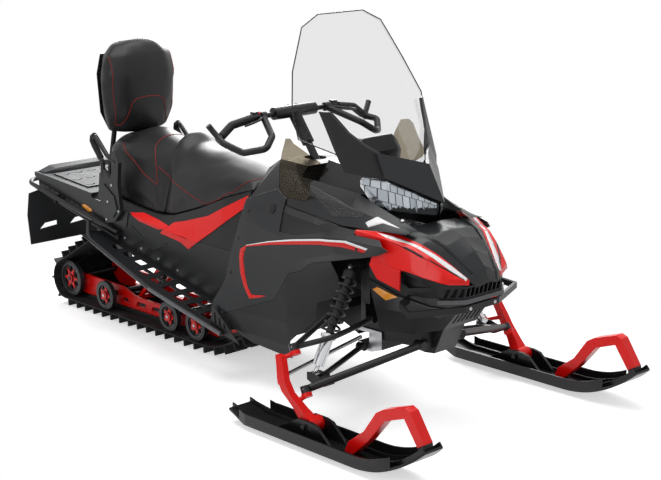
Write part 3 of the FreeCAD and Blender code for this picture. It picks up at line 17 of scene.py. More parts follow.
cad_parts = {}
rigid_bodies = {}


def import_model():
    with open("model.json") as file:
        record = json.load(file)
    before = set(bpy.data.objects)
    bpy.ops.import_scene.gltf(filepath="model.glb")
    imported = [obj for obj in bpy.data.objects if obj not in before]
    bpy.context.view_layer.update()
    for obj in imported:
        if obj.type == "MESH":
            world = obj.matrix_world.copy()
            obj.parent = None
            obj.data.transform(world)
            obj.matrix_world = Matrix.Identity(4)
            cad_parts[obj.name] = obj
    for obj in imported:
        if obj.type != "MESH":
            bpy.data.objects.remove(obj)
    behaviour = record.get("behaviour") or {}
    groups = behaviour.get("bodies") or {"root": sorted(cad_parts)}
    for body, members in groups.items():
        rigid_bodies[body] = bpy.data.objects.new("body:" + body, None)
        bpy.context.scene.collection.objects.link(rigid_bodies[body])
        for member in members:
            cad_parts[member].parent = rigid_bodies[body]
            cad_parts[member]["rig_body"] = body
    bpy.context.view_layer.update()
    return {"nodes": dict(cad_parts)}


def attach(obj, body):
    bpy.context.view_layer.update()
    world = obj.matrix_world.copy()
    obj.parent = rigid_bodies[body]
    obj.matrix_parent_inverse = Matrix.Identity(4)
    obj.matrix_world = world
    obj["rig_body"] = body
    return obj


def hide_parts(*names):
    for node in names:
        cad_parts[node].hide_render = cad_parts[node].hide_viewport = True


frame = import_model()
scene = bpy.context.scene
MM = 0.001

# %% [markdown]
# ## The camera
# The photograph looks down a little on the vehicle's right front corner. The place, direction and roll below were
# fitted to edges that are known to be level or mirrored, so that the model and the picture share one perspective.

# %% The camera
IMAGE_WIDTH = 661
FOCAL_PIXELS = 1522.113
CAMERA_AT = Vector((4.93293, -4.11530, 2.08093))
CAMERA_AZIMUTH = math.radians(47.75461)
CAMERA_DOWN = math.radians(13.66635)
CAMERA_ROLL = math.radians(-0.91459)


def camera_axes():
    """Right, up and forward of the camera: a level view turned by the azimuth, tipped down and rolled."""
    level = Vector((-math.sin(CAMERA_AZIMUTH), math.cos(CAMERA_AZIMUTH), 0))
    right = Vector((math.cos(CAMERA_AZIMUTH), math.sin(CAMERA_AZIMUTH), 0))
    forward = level * math.cos(CAMERA_DOWN) - Vector((0, 0, math.sin(CAMERA_DOWN)))
    up = level * math.sin(CAMERA_DOWN) + Vector((0, 0, math.cos(CAMERA_DOWN)))
    return (
        right * math.cos(CAMERA_ROLL) + up * math.sin(CAMERA_ROLL),
        up * math.cos(CAMERA_ROLL) - right * math.sin(CAMERA_ROLL),
        forward,
    )


lens = bpy.data.cameras.new("camera")
lens.sensor_width = 36
lens.lens = FOCAL_PIXELS / IMAGE_WIDTH * lens.sensor_width
camera = bpy.data.objects.new("camera", lens)
axis_right, axis_up, axis_forward = camera_axes()
camera.matrix_world = Matrix.Translation(CAMERA_AT) @ Matrix(
    (axis_right, axis_up, -axis_forward)
).transposed().to_4x4()
scene.collection.objects.link(camera)
scene.camera = camera
print("lens", round(lens.lens, 1), "mm")

# %% [markdown]
# ## Colours and nodes
# Colours are written as they look on a screen, in hex, and turned to the linear values that the shaders add and
# multiply. One helper adds a node, sets its options and fills its sockets with numbers or with links.

# %% Two helpers for materials


def linear(code):
    """An sRGB hex colour as linear red, green, blue and alpha."""
    parts = [int(code[i:i + 2], 16) / 255 for i in (1, 3, 5)]
    return [c / 12.92 if c <= 0.04045 else ((c + 0.055) / 1.055) ** 2.4 for c in parts] + [1.0]


def add(tree, kind, sockets=None, **options):
    """A node with its options set. Each socket gets a value, or a link where the value is another socket."""
    node = tree.nodes.new(kind)
    for key, value in options.items():
        setattr(node, key, value)
    for key, value in (sockets or {}).items():
        if isinstance(value, bpy.types.NodeSocket):
            tree.links.new(value, node.inputs[key])
        else:
            node.inputs[key].default_value = value
    return node


# %% [markdown]
# ## Light
# A studio picture on white: one wide soft box above, one from the viewer's side for the flank, and one from behind
# for the upper edges. The background is white for rays from the camera, off a mirror or through a clear sheet, and
# a weaker light for all others, so it doesn't wash out the plastics.

# %% World and soft boxes
AMBIENT_LIGHT = 0.32
BACKDROP_WHITE = 1.0
world = bpy.data.worlds.new("studio")
world.use_nodes = True
scene.world = world
tree = world.node_tree
tree.nodes.clear()


def seen_directly(tree):
    """1 for rays from the camera, and for those that arrive by a mirror or through a clear sheet."""
    path = add(tree, "ShaderNodeLightPath")
    straight = {0: path.outputs["Is Camera Ray"], 1: path.outputs["Is Glossy Ray"]}
    mirror = add(tree, "ShaderNodeMath", straight, operation="MAXIMUM")
    clear = {0: mirror.outputs[0], 1: path.outputs["Is Transmission Ray"]}
    return add(tree, "ShaderNodeMath", clear, operation="MAXIMUM").outputs[0]


ambient = add(tree, "ShaderNodeBackground", {"Color": linear("#ffffff"), "Strength": AMBIENT_LIGHT})
backdrop = add(tree, "ShaderNodeBackground", {"Color": linear("#ffffff"), "Strength": BACKDROP_WHITE})
mixed = add(tree, "ShaderNodeMixShader", {0: seen_directly(tree), 1: ambient.outputs[0], 2: backdrop.outputs[0]})
add(tree, "ShaderNodeOutputWorld", {"Surface": mixed.outputs[0]})


def soft_box(name, at, target, size, power):
    """A rectangular lamp at a place, facing a target."""
    lamp = bpy.data.lights.new(name, "AREA")
    lamp.shape = "RECTANGLE"
    lamp.size, lamp.size_y = size
    lamp.energy = power
    thing = bpy.data.objects.new(name, lamp)
    thing.rotation_euler = (Vector(target) - Vector(at)).to_track_quat("-Z", "Y").to_euler()
    thing.location = at
    scene.collection.objects.link(thing)
    return thing


soft_box("top_light", (0.2, 0.0, 4.6), (0, 0, 0.4), (4.5, 3.0), 175)
soft_box("side_light", (2.4, -5.2, 2.6), (0, -0.2, 0.5), (3.0, 1.6), 52)
soft_box("rim_light", (-3.4, 3.0, 2.7), (-0.1, 0, 0.7), (3.2, 1.6), 230)

# %% [markdown]
# ## Floor
# A plain pale floor that fades to the white of the backdrop. It keeps the shadow of the skis and the track.

# %% The floor
FLOOR_HALF = 9.0
FLOOR_GLOW = 0.52
FADE_SQUEEZE = (0.62, 1.2, 0.0)
FADE_FROM, FADE_TO = 1.0, 1.7
corners = [(FLOOR_HALF * x, FLOOR_HALF * y, 0) for x, y in ((-1, -1), (1, -1), (1, 1), (-1, 1))]
floor_mesh = bpy.data.meshes.new("floor")
floor_mesh.from_pydata(corners, [], [(0, 1, 2, 3)])
floor = bpy.data.objects.new("floor", floor_mesh)
scene.collection.objects.link(floor)
floor_paint = bpy.data.materials.new("white_studio_floor")
floor_paint.use_nodes = True
tree = floor_paint.node_tree
tree.nodes.clear()
matte = add(tree, "ShaderNodeBsdfDiffuse", {"Color": linear("#f7f7f7")})
glow = add(tree, "ShaderNodeEmission", {"Color": linear("#ffffff"), "Strength": FLOOR_GLOW})
near = add(tree, "ShaderNodeAddShader", {0: matte.outputs[0], 1: glow.outputs[0]})
white = add(tree, "ShaderNodeEmission", {"Color": linear("#ffffff"), "Strength": 1.0})
place = add(tree, "ShaderNodeTexCoord").outputs["Object"]
squeezed = add(tree, "ShaderNodeVectorMath", {0: place, 1: FADE_SQUEEZE}, operation="MULTIPLY")
reach = add(tree, "ShaderNodeVectorMath", {0: squeezed.outputs[0]}, operation="LENGTH")
fade = add(tree, "ShaderNodeMapRange", {
    "Value": reach.outputs["Value"], "From Min": FADE_FROM, "From Max": FADE_TO,
})
shown = add(tree, "ShaderNodeMixShader", {0: fade.outputs[0], 1: near.outputs[0], 2: white.outputs[0]})
lit = add(tree, "ShaderNodeMixShader", {0: seen_directly(tree), 1: matte.outputs[0], 2: shown.outputs[0]})
add(tree, "ShaderNodeOutputMaterial", {"Surface": lit.outputs[0]})
floor_mesh.materials.append(floor_paint)

scene.view_settings.view_transform = "Standard"

# %% [markdown]
# ## Finishes
# Most of the vehicle is moulded plastic and painted metal. All of them share one build: a colour that shifts a
# little over the piece, a roughness broken up by handling, and a fine bump for the tool's grain.

# %% A finish with grain
BLOTCH_MM = 220.0


def finish(name, colour, roughness, grain_mm, depth_mm, metallic=0.0, coat=0.0, shift=0.06, gloss=0.28):
    """A named material: colour, roughness, the size and depth of its grain, and how much its colour shifts."""
    material = bpy.data.materials.new(name)
    material.use_nodes = True
    tree = material.node_tree
    tree.nodes.clear()
    place = add(tree, "ShaderNodeTexCoord").outputs["Object"]
    blotches = add(tree, "ShaderNodeTexNoise", {"Vector": place, "Scale": 1000 / BLOTCH_MM, "Detail": 3.0})
    base = linear(colour)
    paler = [min(1.0, c * (1 + shift) + 0.02 * shift) for c in base[:3]] + [1.0]
    darker = [c * (1 - shift) for c in base[:3]] + [1.0]
    tone = add(tree, "ShaderNodeMix", {0: blotches.outputs["Fac"], 6: darker, 7: paler}, data_type="RGBA")
    grain = add(tree, "ShaderNodeTexNoise", {"Vector": place, "Scale": 1000 / grain_mm, "Detail": 2.0})
    handled = add(tree, "ShaderNodeMapRange", {
        "Value": grain.outputs["Fac"], "From Min": 0.3, "From Max": 0.7,
        "To Min": roughness * 0.9, "To Max": min(1.0, roughness * 1.1),
    })
    bump = add(tree, "ShaderNodeBump", {
        "Height": grain.outputs["Fac"], "Distance": depth_mm * MM, "Strength": 0.6,
    })
    shader = add(tree, "ShaderNodeBsdfPrincipled", {
        "Base Color": tone.outputs[2], "Roughness": handled.outputs[0], "Metallic": metallic,
        "Coat Weight": coat, "Coat Roughness": 0.08, "Specular IOR Level": gloss, "Normal": bump.outputs[0],
    })
    add(tree, "ShaderNodeOutputMaterial", {"Surface": shader.outputs[0]})
    return material


MOULDED_BLACK = finish("moulded_polypropylene_black", "#151516", 0.46, 1.2, 0.03)
CHARCOAL = finish("satin_moulded_charcoal", "#222325", 0.32, 1.6, 0.02)
RED_GLOSS = finish("gloss_red_abs", "#e20a04", 0.3, 6.0, 0.01, coat=0.08, shift=0.03)
RED_PAINT = finish("red_powder_coat", "#da0b05", 0.36, 1.5, 0.02, shift=0.05)
TUNNEL_BLACK = finish("black_coated_aluminium", "#18191b", 0.4, 1.4, 0.02)
TUBE_BLACK = finish("black_powder_coat", "#18181a", 0.36, 1.0, 0.02)
ALUMINIUM = finish("bare_cast_aluminium", "#b9babd", 0.36, 1.5, 0.04, metallic=1.0)
DAMPER = finish("clear_anodised_damper", "#c9cacd", 0.24, 3.0, 0.01, metallic=1.0)
RUBBER = finish("black_track_rubber", "#131314", 0.7, 2.0, 0.08)
GRIP = finish("grip_rubber", "#161617", 0.62, 1.4, 0.06)
WHEEL = finish("dark_wheel_nylon", "#222325", 0.42, 1.4, 0.03)
SLIDE = finish("graphite_slide", "#141415", 0.5, 2.0, 0.02)
SKI = finish("gloss_ski_polyethylene", "#131315", 0.3, 2.4, 0.02)
VINYL = finish("black_seat_vinyl", "#19191a", 0.42, 1.8, 0.12)
FLAP = finish("flap_rubber", "#1f2022", 0.6, 1.8, 0.05)
DECK_GREY = finish("grey_moulded_deck", "#3b3c3e", 0.5, 1.6, 0.02, gloss=0.12)
AMBER = finish("amber_reflector", "#f09a28", 0.2, 3.0, 0.02, coat=0.5)
WHITE_FILM = finish("white_vinyl_film", "#f2f2f2", 0.3, 4.0, 0.004, shift=0.02)
BLACK_FILM = finish("black_vinyl_film", "#0e0e0f", 0.32, 4.0, 0.004, shift=0.02)
RED_FILM = finish("red_vinyl_film", "#d8140c", 0.28, 4.0, 0.004, shift=0.02)
GREY_PLASTIC = finish("grey_moulded_plastic", "#5a5b5e", 0.42, 1.6, 0.02)
RED_THREAD = finish("red_seam_piping", "#7d1a16", 0.6, 0.8, 0.05)
STEEL = finish("zinc_plated_steel", "#a9abae", 0.3, 1.0, 0.02, metallic=1.0)

# %% [markdown]
# ## Clear and smoked plastic
# The screen is clear polycarbonate, 4 mm thick. Light passes straight through a sheet that thin, so a
# transparent shader with a gloss on top shows it better than a refracting solid.

# %% Clear sheets


def clear_sheet(name, tint, gloss_at_edge):
    """A thin clear sheet: it tints what is behind it, and shines more where it is seen at a shallow angle."""
    material = bpy.data.materials.new(name)
    material.use_nodes = True
    tree = material.node_tree
    tree.nodes.clear()
    through = add(tree, "ShaderNodeBsdfTransparent", {"Color": linear(tint)})
    gloss = add(tree, "ShaderNodeBsdfGlossy", {"Color": linear("#ffffff"), "Roughness": 0.03})
    angle = add(tree, "ShaderNodeLayerWeight", {"Blend": 0.25})
    share = add(tree, "ShaderNodeMath", {0: angle.outputs["Fresnel"], 1: gloss_at_edge}, operation="MULTIPLY")
    mix = add(tree, "ShaderNodeMixShader", {0: share.outputs[0], 1: through.outputs[0], 2: gloss.outputs[0]})
    add(tree, "ShaderNodeOutputMaterial", {"Surface": mix.outputs[0]})
    return material


SCREEN = clear_sheet("clear_polycarbonate", "#f3f3f3", 0.16)
SMOKED = clear_sheet("smoked_polycarbonate", "#c6c0b4", 0.08)
LENS = clear_sheet("headlamp_lens", "#e9edf0", 0.5)
print("materials", len(bpy.data.materials))

# %% [markdown]
# ## Dressing the CAD nodes
# The CAD solids are right in shape, but their edges are knife-sharp. A copy of each is merged, its flat faces
# joined, and a small bevel added, because it is the rounded edge that catches the light on a moulded part.

# %% Bevelled copies of the nodes


MERGE = 2e-5
BEVEL_ANGLE = math.radians(28)
all_nodes = frame["nodes"]


def body_of(node):
    return all_nodes[node]["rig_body"]


def merged(mesh):
    """A bmesh of a mesh, with points that lie together joined."""
    work = bmesh.new()
    work.from_mesh(mesh)
    bmesh.ops.remove_doubles(work, verts=work.verts, dist=MERGE)
    return work


def written(work, mesh):
    """Put a bmesh into a mesh and free it."""
    work.to_mesh(mesh)
    work.free()


def linked(name, mesh):
    """A new object of the scene that shows a mesh."""
    piece = bpy.data.objects.new(name, mesh)
    scene.collection.objects.link(piece)
    return piece


def dressed(node, material, bevel_mm=1.2, sharp=32.0, join_deg=0.6):
    """A merged copy of a CAD node with bevelled edges, which takes the node's place."""
    mesh = all_nodes[node].data.copy()
    mesh.name = node + "_dressed"
    work = merged(mesh)
    if join_deg:
        bmesh.ops.dissolve_limit(work, angle_limit=math.radians(join_deg), verts=work.verts, edges=work.edges)
    written(work, mesh)
    mesh.materials.clear()
    mesh.materials.append(material)
    mesh.shade_smooth()
    mesh.set_sharp_from_angle(angle=math.radians(sharp))
    piece = linked(node + "_dressed", mesh)
    if bevel_mm:
        edge = piece.modifiers.new("edge", "BEVEL")
        edge.width = bevel_mm * MM
        edge.segments = 2
        edge.limit_method = "ANGLE"
        edge.angle_limit = BEVEL_ANGLE
        edge.harden_normals = True
    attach(piece, body_of(node))
    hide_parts(node)
    return piece


NODE_FINISH = {
    "track": (RUBBER, 0.0), "skid_rails": (RED_PAINT, 1.0), "rail_slides": (SLIDE, 1.0), "rear_idlers": (WHEEL, 1.0),
    "skid_wheels": (WHEEL, 1.0), "skid_axles": (TUBE_BLACK, 0.8), "skid_arms": (RED_PAINT, 0.8),
    "skid_shocks": (DAMPER, 0.8), "drive_axle": (TUBE_BLACK, 0.8), "tunnel": (TUNNEL_BLACK, 1.0),
    "running_board_left": (TUNNEL_BLACK, 0.8), "running_board_right": (TUNNEL_BLACK, 0.8),
    "toe_guards": (MOULDED_BLACK, 0.8), "rear_bumper": (TUBE_BLACK, 0.0), "cargo_deck": (CHARCOAL, 1.5),
    "snow_flap": (FLAP, 0.8), "seat_base": (MOULDED_BLACK, 2.0), "side_trim": (RED_GLOSS, 0.8),
    "backrest_frame": (MOULDED_BLACK, 1.5), "grab_handles": (CHARCOAL, 2.0), "tank_cover": (MOULDED_BLACK, 3.0),
    "side_panel_left": (CHARCOAL, 1.2, 48.0), "side_panel_right": (CHARCOAL, 1.2, 48.0),
    "lower_panels": (MOULDED_BLACK, 1.2),
    "vent_panels": (MOULDED_BLACK, 1.0), "upper_panels": (CHARCOAL, 1.2, 40.0), "nose_panels": (RED_GLOSS, 1.0),
    "hood": (CHARCOAL, 1.2), "front_fascia": (MOULDED_BLACK, 2.0), "belly_pan": (CHARCOAL, 1.2),
    "front_bumper": (TUBE_BLACK, 0.0), "bulkhead": (ALUMINIUM, 1.0), "engine_block": (TUBE_BLACK, 3.0),
    "headlamp_cowl": (CHARCOAL, 2.0), "instrument_housing": (MOULDED_BLACK, 3.0), "lower_arms": (TUBE_BLACK, 0.0),
    "upper_arms": (TUBE_BLACK, 0.0), "shocks": (DAMPER, 0.0), "springs": (TUBE_BLACK, 0.0),
    "handlebar": (TUBE_BLACK, 0.0), "grips": (GRIP, 0.0), "hand_guards": (MOULDED_BLACK, 0.0),
    "ski_left": (SKI, 1.0), "ski_right": (SKI, 1.0), "ski_loop_left": (RED_GLOSS, 2.0),
    "ski_loop_right": (RED_GLOSS, 2.0), "spindle_left": (RED_PAINT, 1.0), "spindle_right": (RED_PAINT, 1.0),
    "tie_rod_left": (DAMPER, 0.0), "tie_rod_right": (DAMPER, 0.0),
    "headlamps": (LENS, 0.0, 32.0, 0.0), "windshield": (SCREEN, 0.0, 32.0, 0.0),
    "wind_deflectors": (SMOKED, 0.0, 32.0, 0.0),
    "screen_posts": (MOULDED_BLACK, 1.0), "reflectors": (AMBER, 0.8),
}
pieces = {node: dressed(node, *choice) for node, choice in NODE_FINISH.items()}
print("dressed", len(pieces), "of", len(all_nodes))

# %% [markdown]
# ## Building on a surface
# Stripes, seams, rivets and small fittings lie on surfaces that are already there. Each of their points is found
# by a ray: it starts outside, runs along a chosen direction and stops at the first triangle. The small piece then
# follows the form underneath, whatever its curve. Places are given in millimetres, as on a drawing.

# %% Rays onto a surface
FILM_WALL_MM = 0.35


def mesh_piece(name, node, verts, faces, material, sharp=32.0):
    """A mesh that rides on the body of a node."""
    mesh = bpy.data.meshes.new(name)
    mesh.from_pydata([tuple(v) for v in verts], [], faces)
    mesh.materials.append(material)
    mesh.shade_smooth()
    mesh.set_sharp_from_angle(angle=math.radians(sharp))
    piece = linked(name, mesh)
    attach(piece, body_of(node))
    return piece


def skin_of(*things):
    """A search tree over the triangles of some objects."""
    verts, faces = [], []
    for thing in things:
        start = len(verts)
        verts += [v.co.copy() for v in thing.data.vertices]
        faces += [[start + i for i in face.vertices] for face in thing.data.polygons]
    return BVHTree.FromPolygons(verts, faces)


def touch(tree, at, direction):
    """Where a ray through a place, from half a metre before it, meets the surface: point and facing normal."""
    along = Vector(direction).normalized()
    point, normal, _, _ = tree.ray_cast(Vector(at) - along * 0.5, along)
    if point is None:
        return None
    return point, normal if normal.dot(along) < 0 else -normal


def spread(path, count):
    """A path in millimetres as count + 1 evenly spaced points in metres."""
    points = [Vector(p) * MM for p in path]
    reach = [0.0]
    for a, b in zip(points, points[1:]):
        reach.append(reach[-1] + (b - a).length)
    out = []
    for i in range(count + 1):
        want = reach[-1] * i / count
        k = max(j for j in range(len(points) - 1) if reach[j] <= want + 1e-9)
        share = (want - reach[k]) / max(reach[k + 1] - reach[k], 1e-9)
        out.append(points[k].lerp(points[k + 1], min(share, 1.0)))
    return out


def band(name, node, tree, upper, lower, direction, material, columns=60, rows=3, lift_mm=0.5):
    """A thin film between two paths, laid on the surface along a direction. Faces that leap over a gap are left out."""
    top, low = spread(upper, columns), spread(lower, columns)
    leap = 30 * MM + 2.5 * (top[0] - top[1]).length
    verts, index = [], {}
    for i in range(columns + 1):
        for j in range(rows + 1):
            found = touch(tree, top[i].lerp(low[i], j / rows), direction)
            if found:
                index[i, j] = len(verts)
                verts.append(found[0] + found[1] * (lift_mm * MM))
    faces = []
    for i in range(columns):
        for j in range(rows):
            ring = [(i, j), (i + 1, j), (i + 1, j + 1), (i, j + 1)]
            if not all(key in index for key in ring):
                continue
            face = [index[key] for key in ring]
            sides = [(verts[face[k]] - verts[face[k - 1]]).length for k in range(4)]
            if max(sides) > leap:
                continue
            normal = (verts[face[1]] - verts[face[0]]).cross(verts[face[2]] - verts[face[0]])
            faces.append(face if normal.dot(Vector(direction)) < 0 else face[::-1])
    piece = mesh_piece(name, node, verts, faces, material)
    wall = piece.modifiers.new("wall", "SOLIDIFY")
    wall.thickness = FILM_WALL_MM * MM
    wall.offset = -1
    return piece


def two_axes(normal):
    """Two unit vectors square to a direction and to each other."""
    helper = Vector((0, 0, 1)) if abs(normal.z) < 0.9 else Vector((1, 0, 0))
    first = normal.cross(helper).normalized()
    return first, normal.cross(first).normalized()


def head(verts, faces, at, normal, radius, height, sides=12):
    """Add one fastener head to lists of points and faces. It narrows from its radius to half of it at the top."""
    first, second = two_axes(normal)
    start = len(verts)
    for share, rise in ((1.0, -0.3), (1.0, 0.55), (0.86, 0.9), (0.5, 1.0)):
        for k in range(sides):
            turn = 2 * math.pi * k / sides
            side = first * math.cos(turn) + second * math.sin(turn)
            verts.append(at + side * radius * share + normal * height * rise)
    for ring in range(3):
        for k in range(sides):
            a, b = start + ring * sides + k, start + ring * sides + (k + 1) % sides
            faces.append([a, b, b + sides, a + sides])
    faces.append([start + 3 * sides + k for k in range(sides)])
    faces.append([start + k for k in reversed(range(sides))])


def studs(name, node, tree, places, direction, radius_mm, height_mm, material, sides=12):
    """Fastener heads on a surface, each square to it."""
    verts, faces = [], []
    for place in places:
        found = touch(tree, Vector(place) * MM, direction)
        if found:
            head(verts, faces, found[0], found[1], radius_mm * MM, height_mm * MM, sides)
    return mesh_piece(name, node, verts, faces, material)


def sweep(points, radius, sides=10):
    """Points and faces of a round bar along a path, closed at both ends."""
    verts, faces = [], []
    aside = None
    for i, point in enumerate(points):
        along = (points[min(i + 1, len(points) - 1)] - points[max(i - 1, 0)]).normalized()
        aside = two_axes(along)[0] if aside is None else (aside - along * aside.dot(along)).normalized()
        third = along.cross(aside)
        for k in range(sides):
            turn = 2 * math.pi * k / sides
            verts.append(point + (aside * math.cos(turn) + third * math.sin(turn)) * radius)
    for i in range(len(points) - 1):
        for k in range(sides):
            a, b = i * sides + k, i * sides + (k + 1) % sides
            faces.append([a, b, b + sides, a + sides])
    faces.append([k for k in reversed(range(sides))])
    faces.append([(len(points) - 1) * sides + k for k in range(sides)])
    return verts, faces


def bar(name, node, path, radius_mm, material, sides=12):
    """A round bar through points in millimetres."""
    verts, faces = sweep([Vector(p) * MM for p in path], radius_mm * MM, sides)
    return mesh_piece(name, node, verts, faces, material, 40.0)


def seam(name, node, tree, path, direction, radius_mm, material, columns=60, sides=6):
    """A welt along a path on a surface."""
    found = [touch(tree, point, direction) for point in spread(path, columns)]
    points = [hit[0] + hit[1] * (0.2 * MM) for hit in found if hit]
    verts, faces = sweep(points, radius_mm * MM, sides)
    return mesh_piece(name, node, verts, faces, material, 80.0)


def slab(name, node, corners, thickness_mm, material, bevel_mm=0.0):
    """A flat plate from corner points in millimetres, thickened against its normal."""
    verts = [Vector(c) * MM for c in corners]
    normal = (verts[1] - verts[0]).cross(verts[2] - verts[0]).normalized() * thickness_mm * MM
    count = len(verts)
    faces = [list(range(count)), [count + k for k in reversed(range(count))]]
    faces += [[k, count + k, count + (k + 1) % count, (k + 1) % count] for k in range(count)]
    piece = mesh_piece(name, node, verts + [v - normal for v in verts], faces, material)
    if bevel_mm:
        edge = piece.modifiers.new("edge", "BEVEL")
        edge.width = bevel_mm * MM
        edge.segments = 2
    return piece


def flipped(path, hand):
    """A path of the right side, or its mirror image for the left side."""
    return [(x, -y * hand, z) for x, y, z in path]


SIDES = (("right", -1), ("left", 1))
flank = {"right": (0, 1, 0), "left": (0, -1, 0)}
print("surface helpers ready")

# %% [markdown]
# ## Stripes of the flanks
# A long white and red flash runs from the rear corner of each side panel to its point. From its root a red hook
# drops along the panel's rear edge and turns forward at the bottom.

# %% Flash and hook
FLASH_TOP = [
    (244, -323, 602), (391, -323, 643), (535, -326, 675), (700, -328, 705), (836, -318, 719), (936, -298, 702),
]
FLASH_MIDDLE = [
    (244, -323, 600), (390, -323, 638), (535, -326, 668), (698, -327, 696), (826, -318, 709), (925, -297, 692),
]
FLASH_LOW = [
    (244, -323, 595), (390, -323, 627), (533, -325, 653), (696, -325, 680), (807, -316, 689), (912, -295, 680),
]
HOOK_OUT = [
    (244, -323, 600), (206, -323, 579), (201, -326, 545), (212, -331, 483),
    (237, -335, 430), (274, -338, 384), (333, -331, 398), (366, -327, 411),
]
HOOK_IN = [
    (245, -323, 589), (233, -324, 572), (230, -327, 538), (244, -332, 476),
    (262, -334, 428), (287, -335, 402), (333, -330, 408), (366, -327, 412),
]
LINE_DROP = 3.0
for word, hand in SIDES:
    tree = skin_of(all_nodes["side_panel_" + word])
    node, way = "side_panel_" + word, flank[word]

    def laid(path, rise=0.0):
        return [(x, y, z + rise) for x, y, z in flipped(path, hand)]

    band("flash_white_" + word, node, tree, laid(FLASH_TOP), laid(FLASH_MIDDLE), way, WHITE_FILM, 90, 2)
    band("flash_red_" + word, node, tree, laid(FLASH_MIDDLE), laid(FLASH_LOW), way, RED_FILM, 90, 2)
    band("flash_line_" + word, node, tree, laid(FLASH_LOW), laid(FLASH_LOW, -LINE_DROP), way, BLACK_FILM, 90, 1)
    band("hook_red_" + word, node, tree, laid(HOOK_OUT), laid(HOOK_IN), way, RED_FILM, 90, 3)
print("flank stripes", 4 * len(SIDES))

# %% [markdown]
# ## Stripes of the nose
# Each red nose panel carries a white wedge along its top facet, with a fine red margin outside it and a black
# line under the ridge.

# %% Nose wedge and line
WEDGE_OUT = [(925, -240, 753), (1046, -203, 738), (1140, -150, 690), (1200, -118, 650), (1250, -88, 604)]
WEDGE_IN = [(985, -243, 740), (1056, -205, 724), (1150, -165, 676), (1205, -138, 638), (1252, -100, 598)]
RIDGE = [(1010, -238, 735), (1117, -202, 692), (1180, -156, 650), (1244, -98, 604)]
for word, hand in SIDES:
    tree = skin_of(all_nodes["nose_panels"])
    way = (-0.45, -0.55 * hand, -0.7)
    wedge = flipped(WEDGE_OUT, hand), flipped(WEDGE_IN, hand)
    band("nose_wedge_" + word, "nose_panels", tree, *wedge, way, WHITE_FILM, 70, 3)
    low = [(x + 2, y - 5, z - 5) for x, y, z in RIDGE]
    band("nose_line_" + word, "nose_panels", tree, flipped(RIDGE, hand), flipped(low, hand), way, BLACK_FILM, 70, 1)
print("nose stripes", 2 * len(SIDES))

# %% [markdown]
# ## Seats and back pad
# The seats are foam under vinyl. A copy of each CAD form is remeshed to small even cells, relaxed, and blown up
# like a cushion under cloth rules, so that its faces crown and its edges pull round. No point may move further
# than a cap, and none moves that lies against a neighbour.

# %% Upholstery
CLOTH_FRAMES = 20
CONTACT_MM = 8.0
SETTLE_ROUNDS = 16


def evaluated(piece):
    """The mesh of a piece with its modifiers carried out."""
    graph = bpy.context.evaluated_depsgraph_get()
    return bpy.data.meshes.new_from_object(piece.evaluated_get(graph), depsgraph=graph)


def points_of(mesh):
    values = np.empty(len(mesh.vertices) * 3)
    mesh.vertices.foreach_get("co", values)
    return values.reshape(-1, 3)


def relaxed(mesh, rounds):
    """Move every point towards the mean of its neighbours, a number of times."""
    work = bmesh.new()
    work.from_mesh(mesh)
    for _ in range(rounds):
        bmesh.ops.smooth_vert(work, verts=work.verts, factor=0.5, use_axis_x=True, use_axis_y=True, use_axis_z=True)
    written(work, mesh)


def upholstered(node, neighbours, cap_mm, relax=14, cell_mm=6.0):
    """A padded piece in a CAD node's place."""
    mesh = all_nodes[node].data.copy()
    mesh.name = node + "_cover"
    piece = linked(node + "_cover", mesh)
    written(merged(mesh), mesh)
    cells = piece.modifiers.new("cells", "REMESH")
    cells.mode = "VOXEL"
    cells.voxel_size = cell_mm * MM
    piece.data = evaluated(piece)
    piece.modifiers.clear()
    relaxed(piece.data, relax)
    start = points_of(piece.data)
    cloth = piece.modifiers.new("air", "CLOTH")
    cloth.settings.quality = 4
    cloth.settings.use_pressure = True
    cloth.settings.uniform_pressure_force = 4.0
    cloth.settings.effector_weights.gravity = 0.0
    cloth.settings.tension_stiffness = 30.0
    cloth.settings.compression_stiffness = 30.0
    cloth.settings.bending_stiffness = 8.0
    for step in range(1, CLOTH_FRAMES + 1):
        scene.frame_set(step)
    blown = evaluated(piece)
    piece.modifiers.clear()
    scene.frame_set(1)
    moved = points_of(blown) - start
    length = np.linalg.norm(moved, axis=1, keepdims=True)
    moved *= np.minimum(1.0, cap_mm * MM / np.maximum(length, 1e-9))
    tree = skin_of(*[all_nodes[other] for other in neighbours])
    for i, point in enumerate(start):
        if tree.find_nearest(Vector(point), CONTACT_MM * MM)[0] is not None:
            moved[i] = 0
    piece.data.vertices.foreach_set("co", (start + moved).ravel())
    relaxed(piece.data, SETTLE_ROUNDS)
    piece.data.materials.clear()
    piece.data.materials.append(VINYL)
    piece.data.shade_smooth()
    finer = piece.modifiers.new("finer", "SUBSURF")
    finer.levels = finer.render_levels = 1
    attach(piece, body_of(node))
    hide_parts(node)
    return piece


driver = upholstered("driver_seat", ("seat_base", "passenger_seat", "tank_cover"), 12.0)
passenger = upholstered("passenger_seat", ("seat_base", "driver_seat", "backrest_frame"), 9.0)
back_pad = upholstered("backrest_pad", ("backrest_frame",), 14.0, 6)
print("covers", [len(thing.data.polygons) for thing in (driver, passenger, back_pad)])

# %% [markdown]
# ## Red seams
# Dark red welts follow the sewn edges: round the passenger's cushion and down into a V on each side, along the
# driver's flank, and up both edges of the back pad with an arch at its foot.

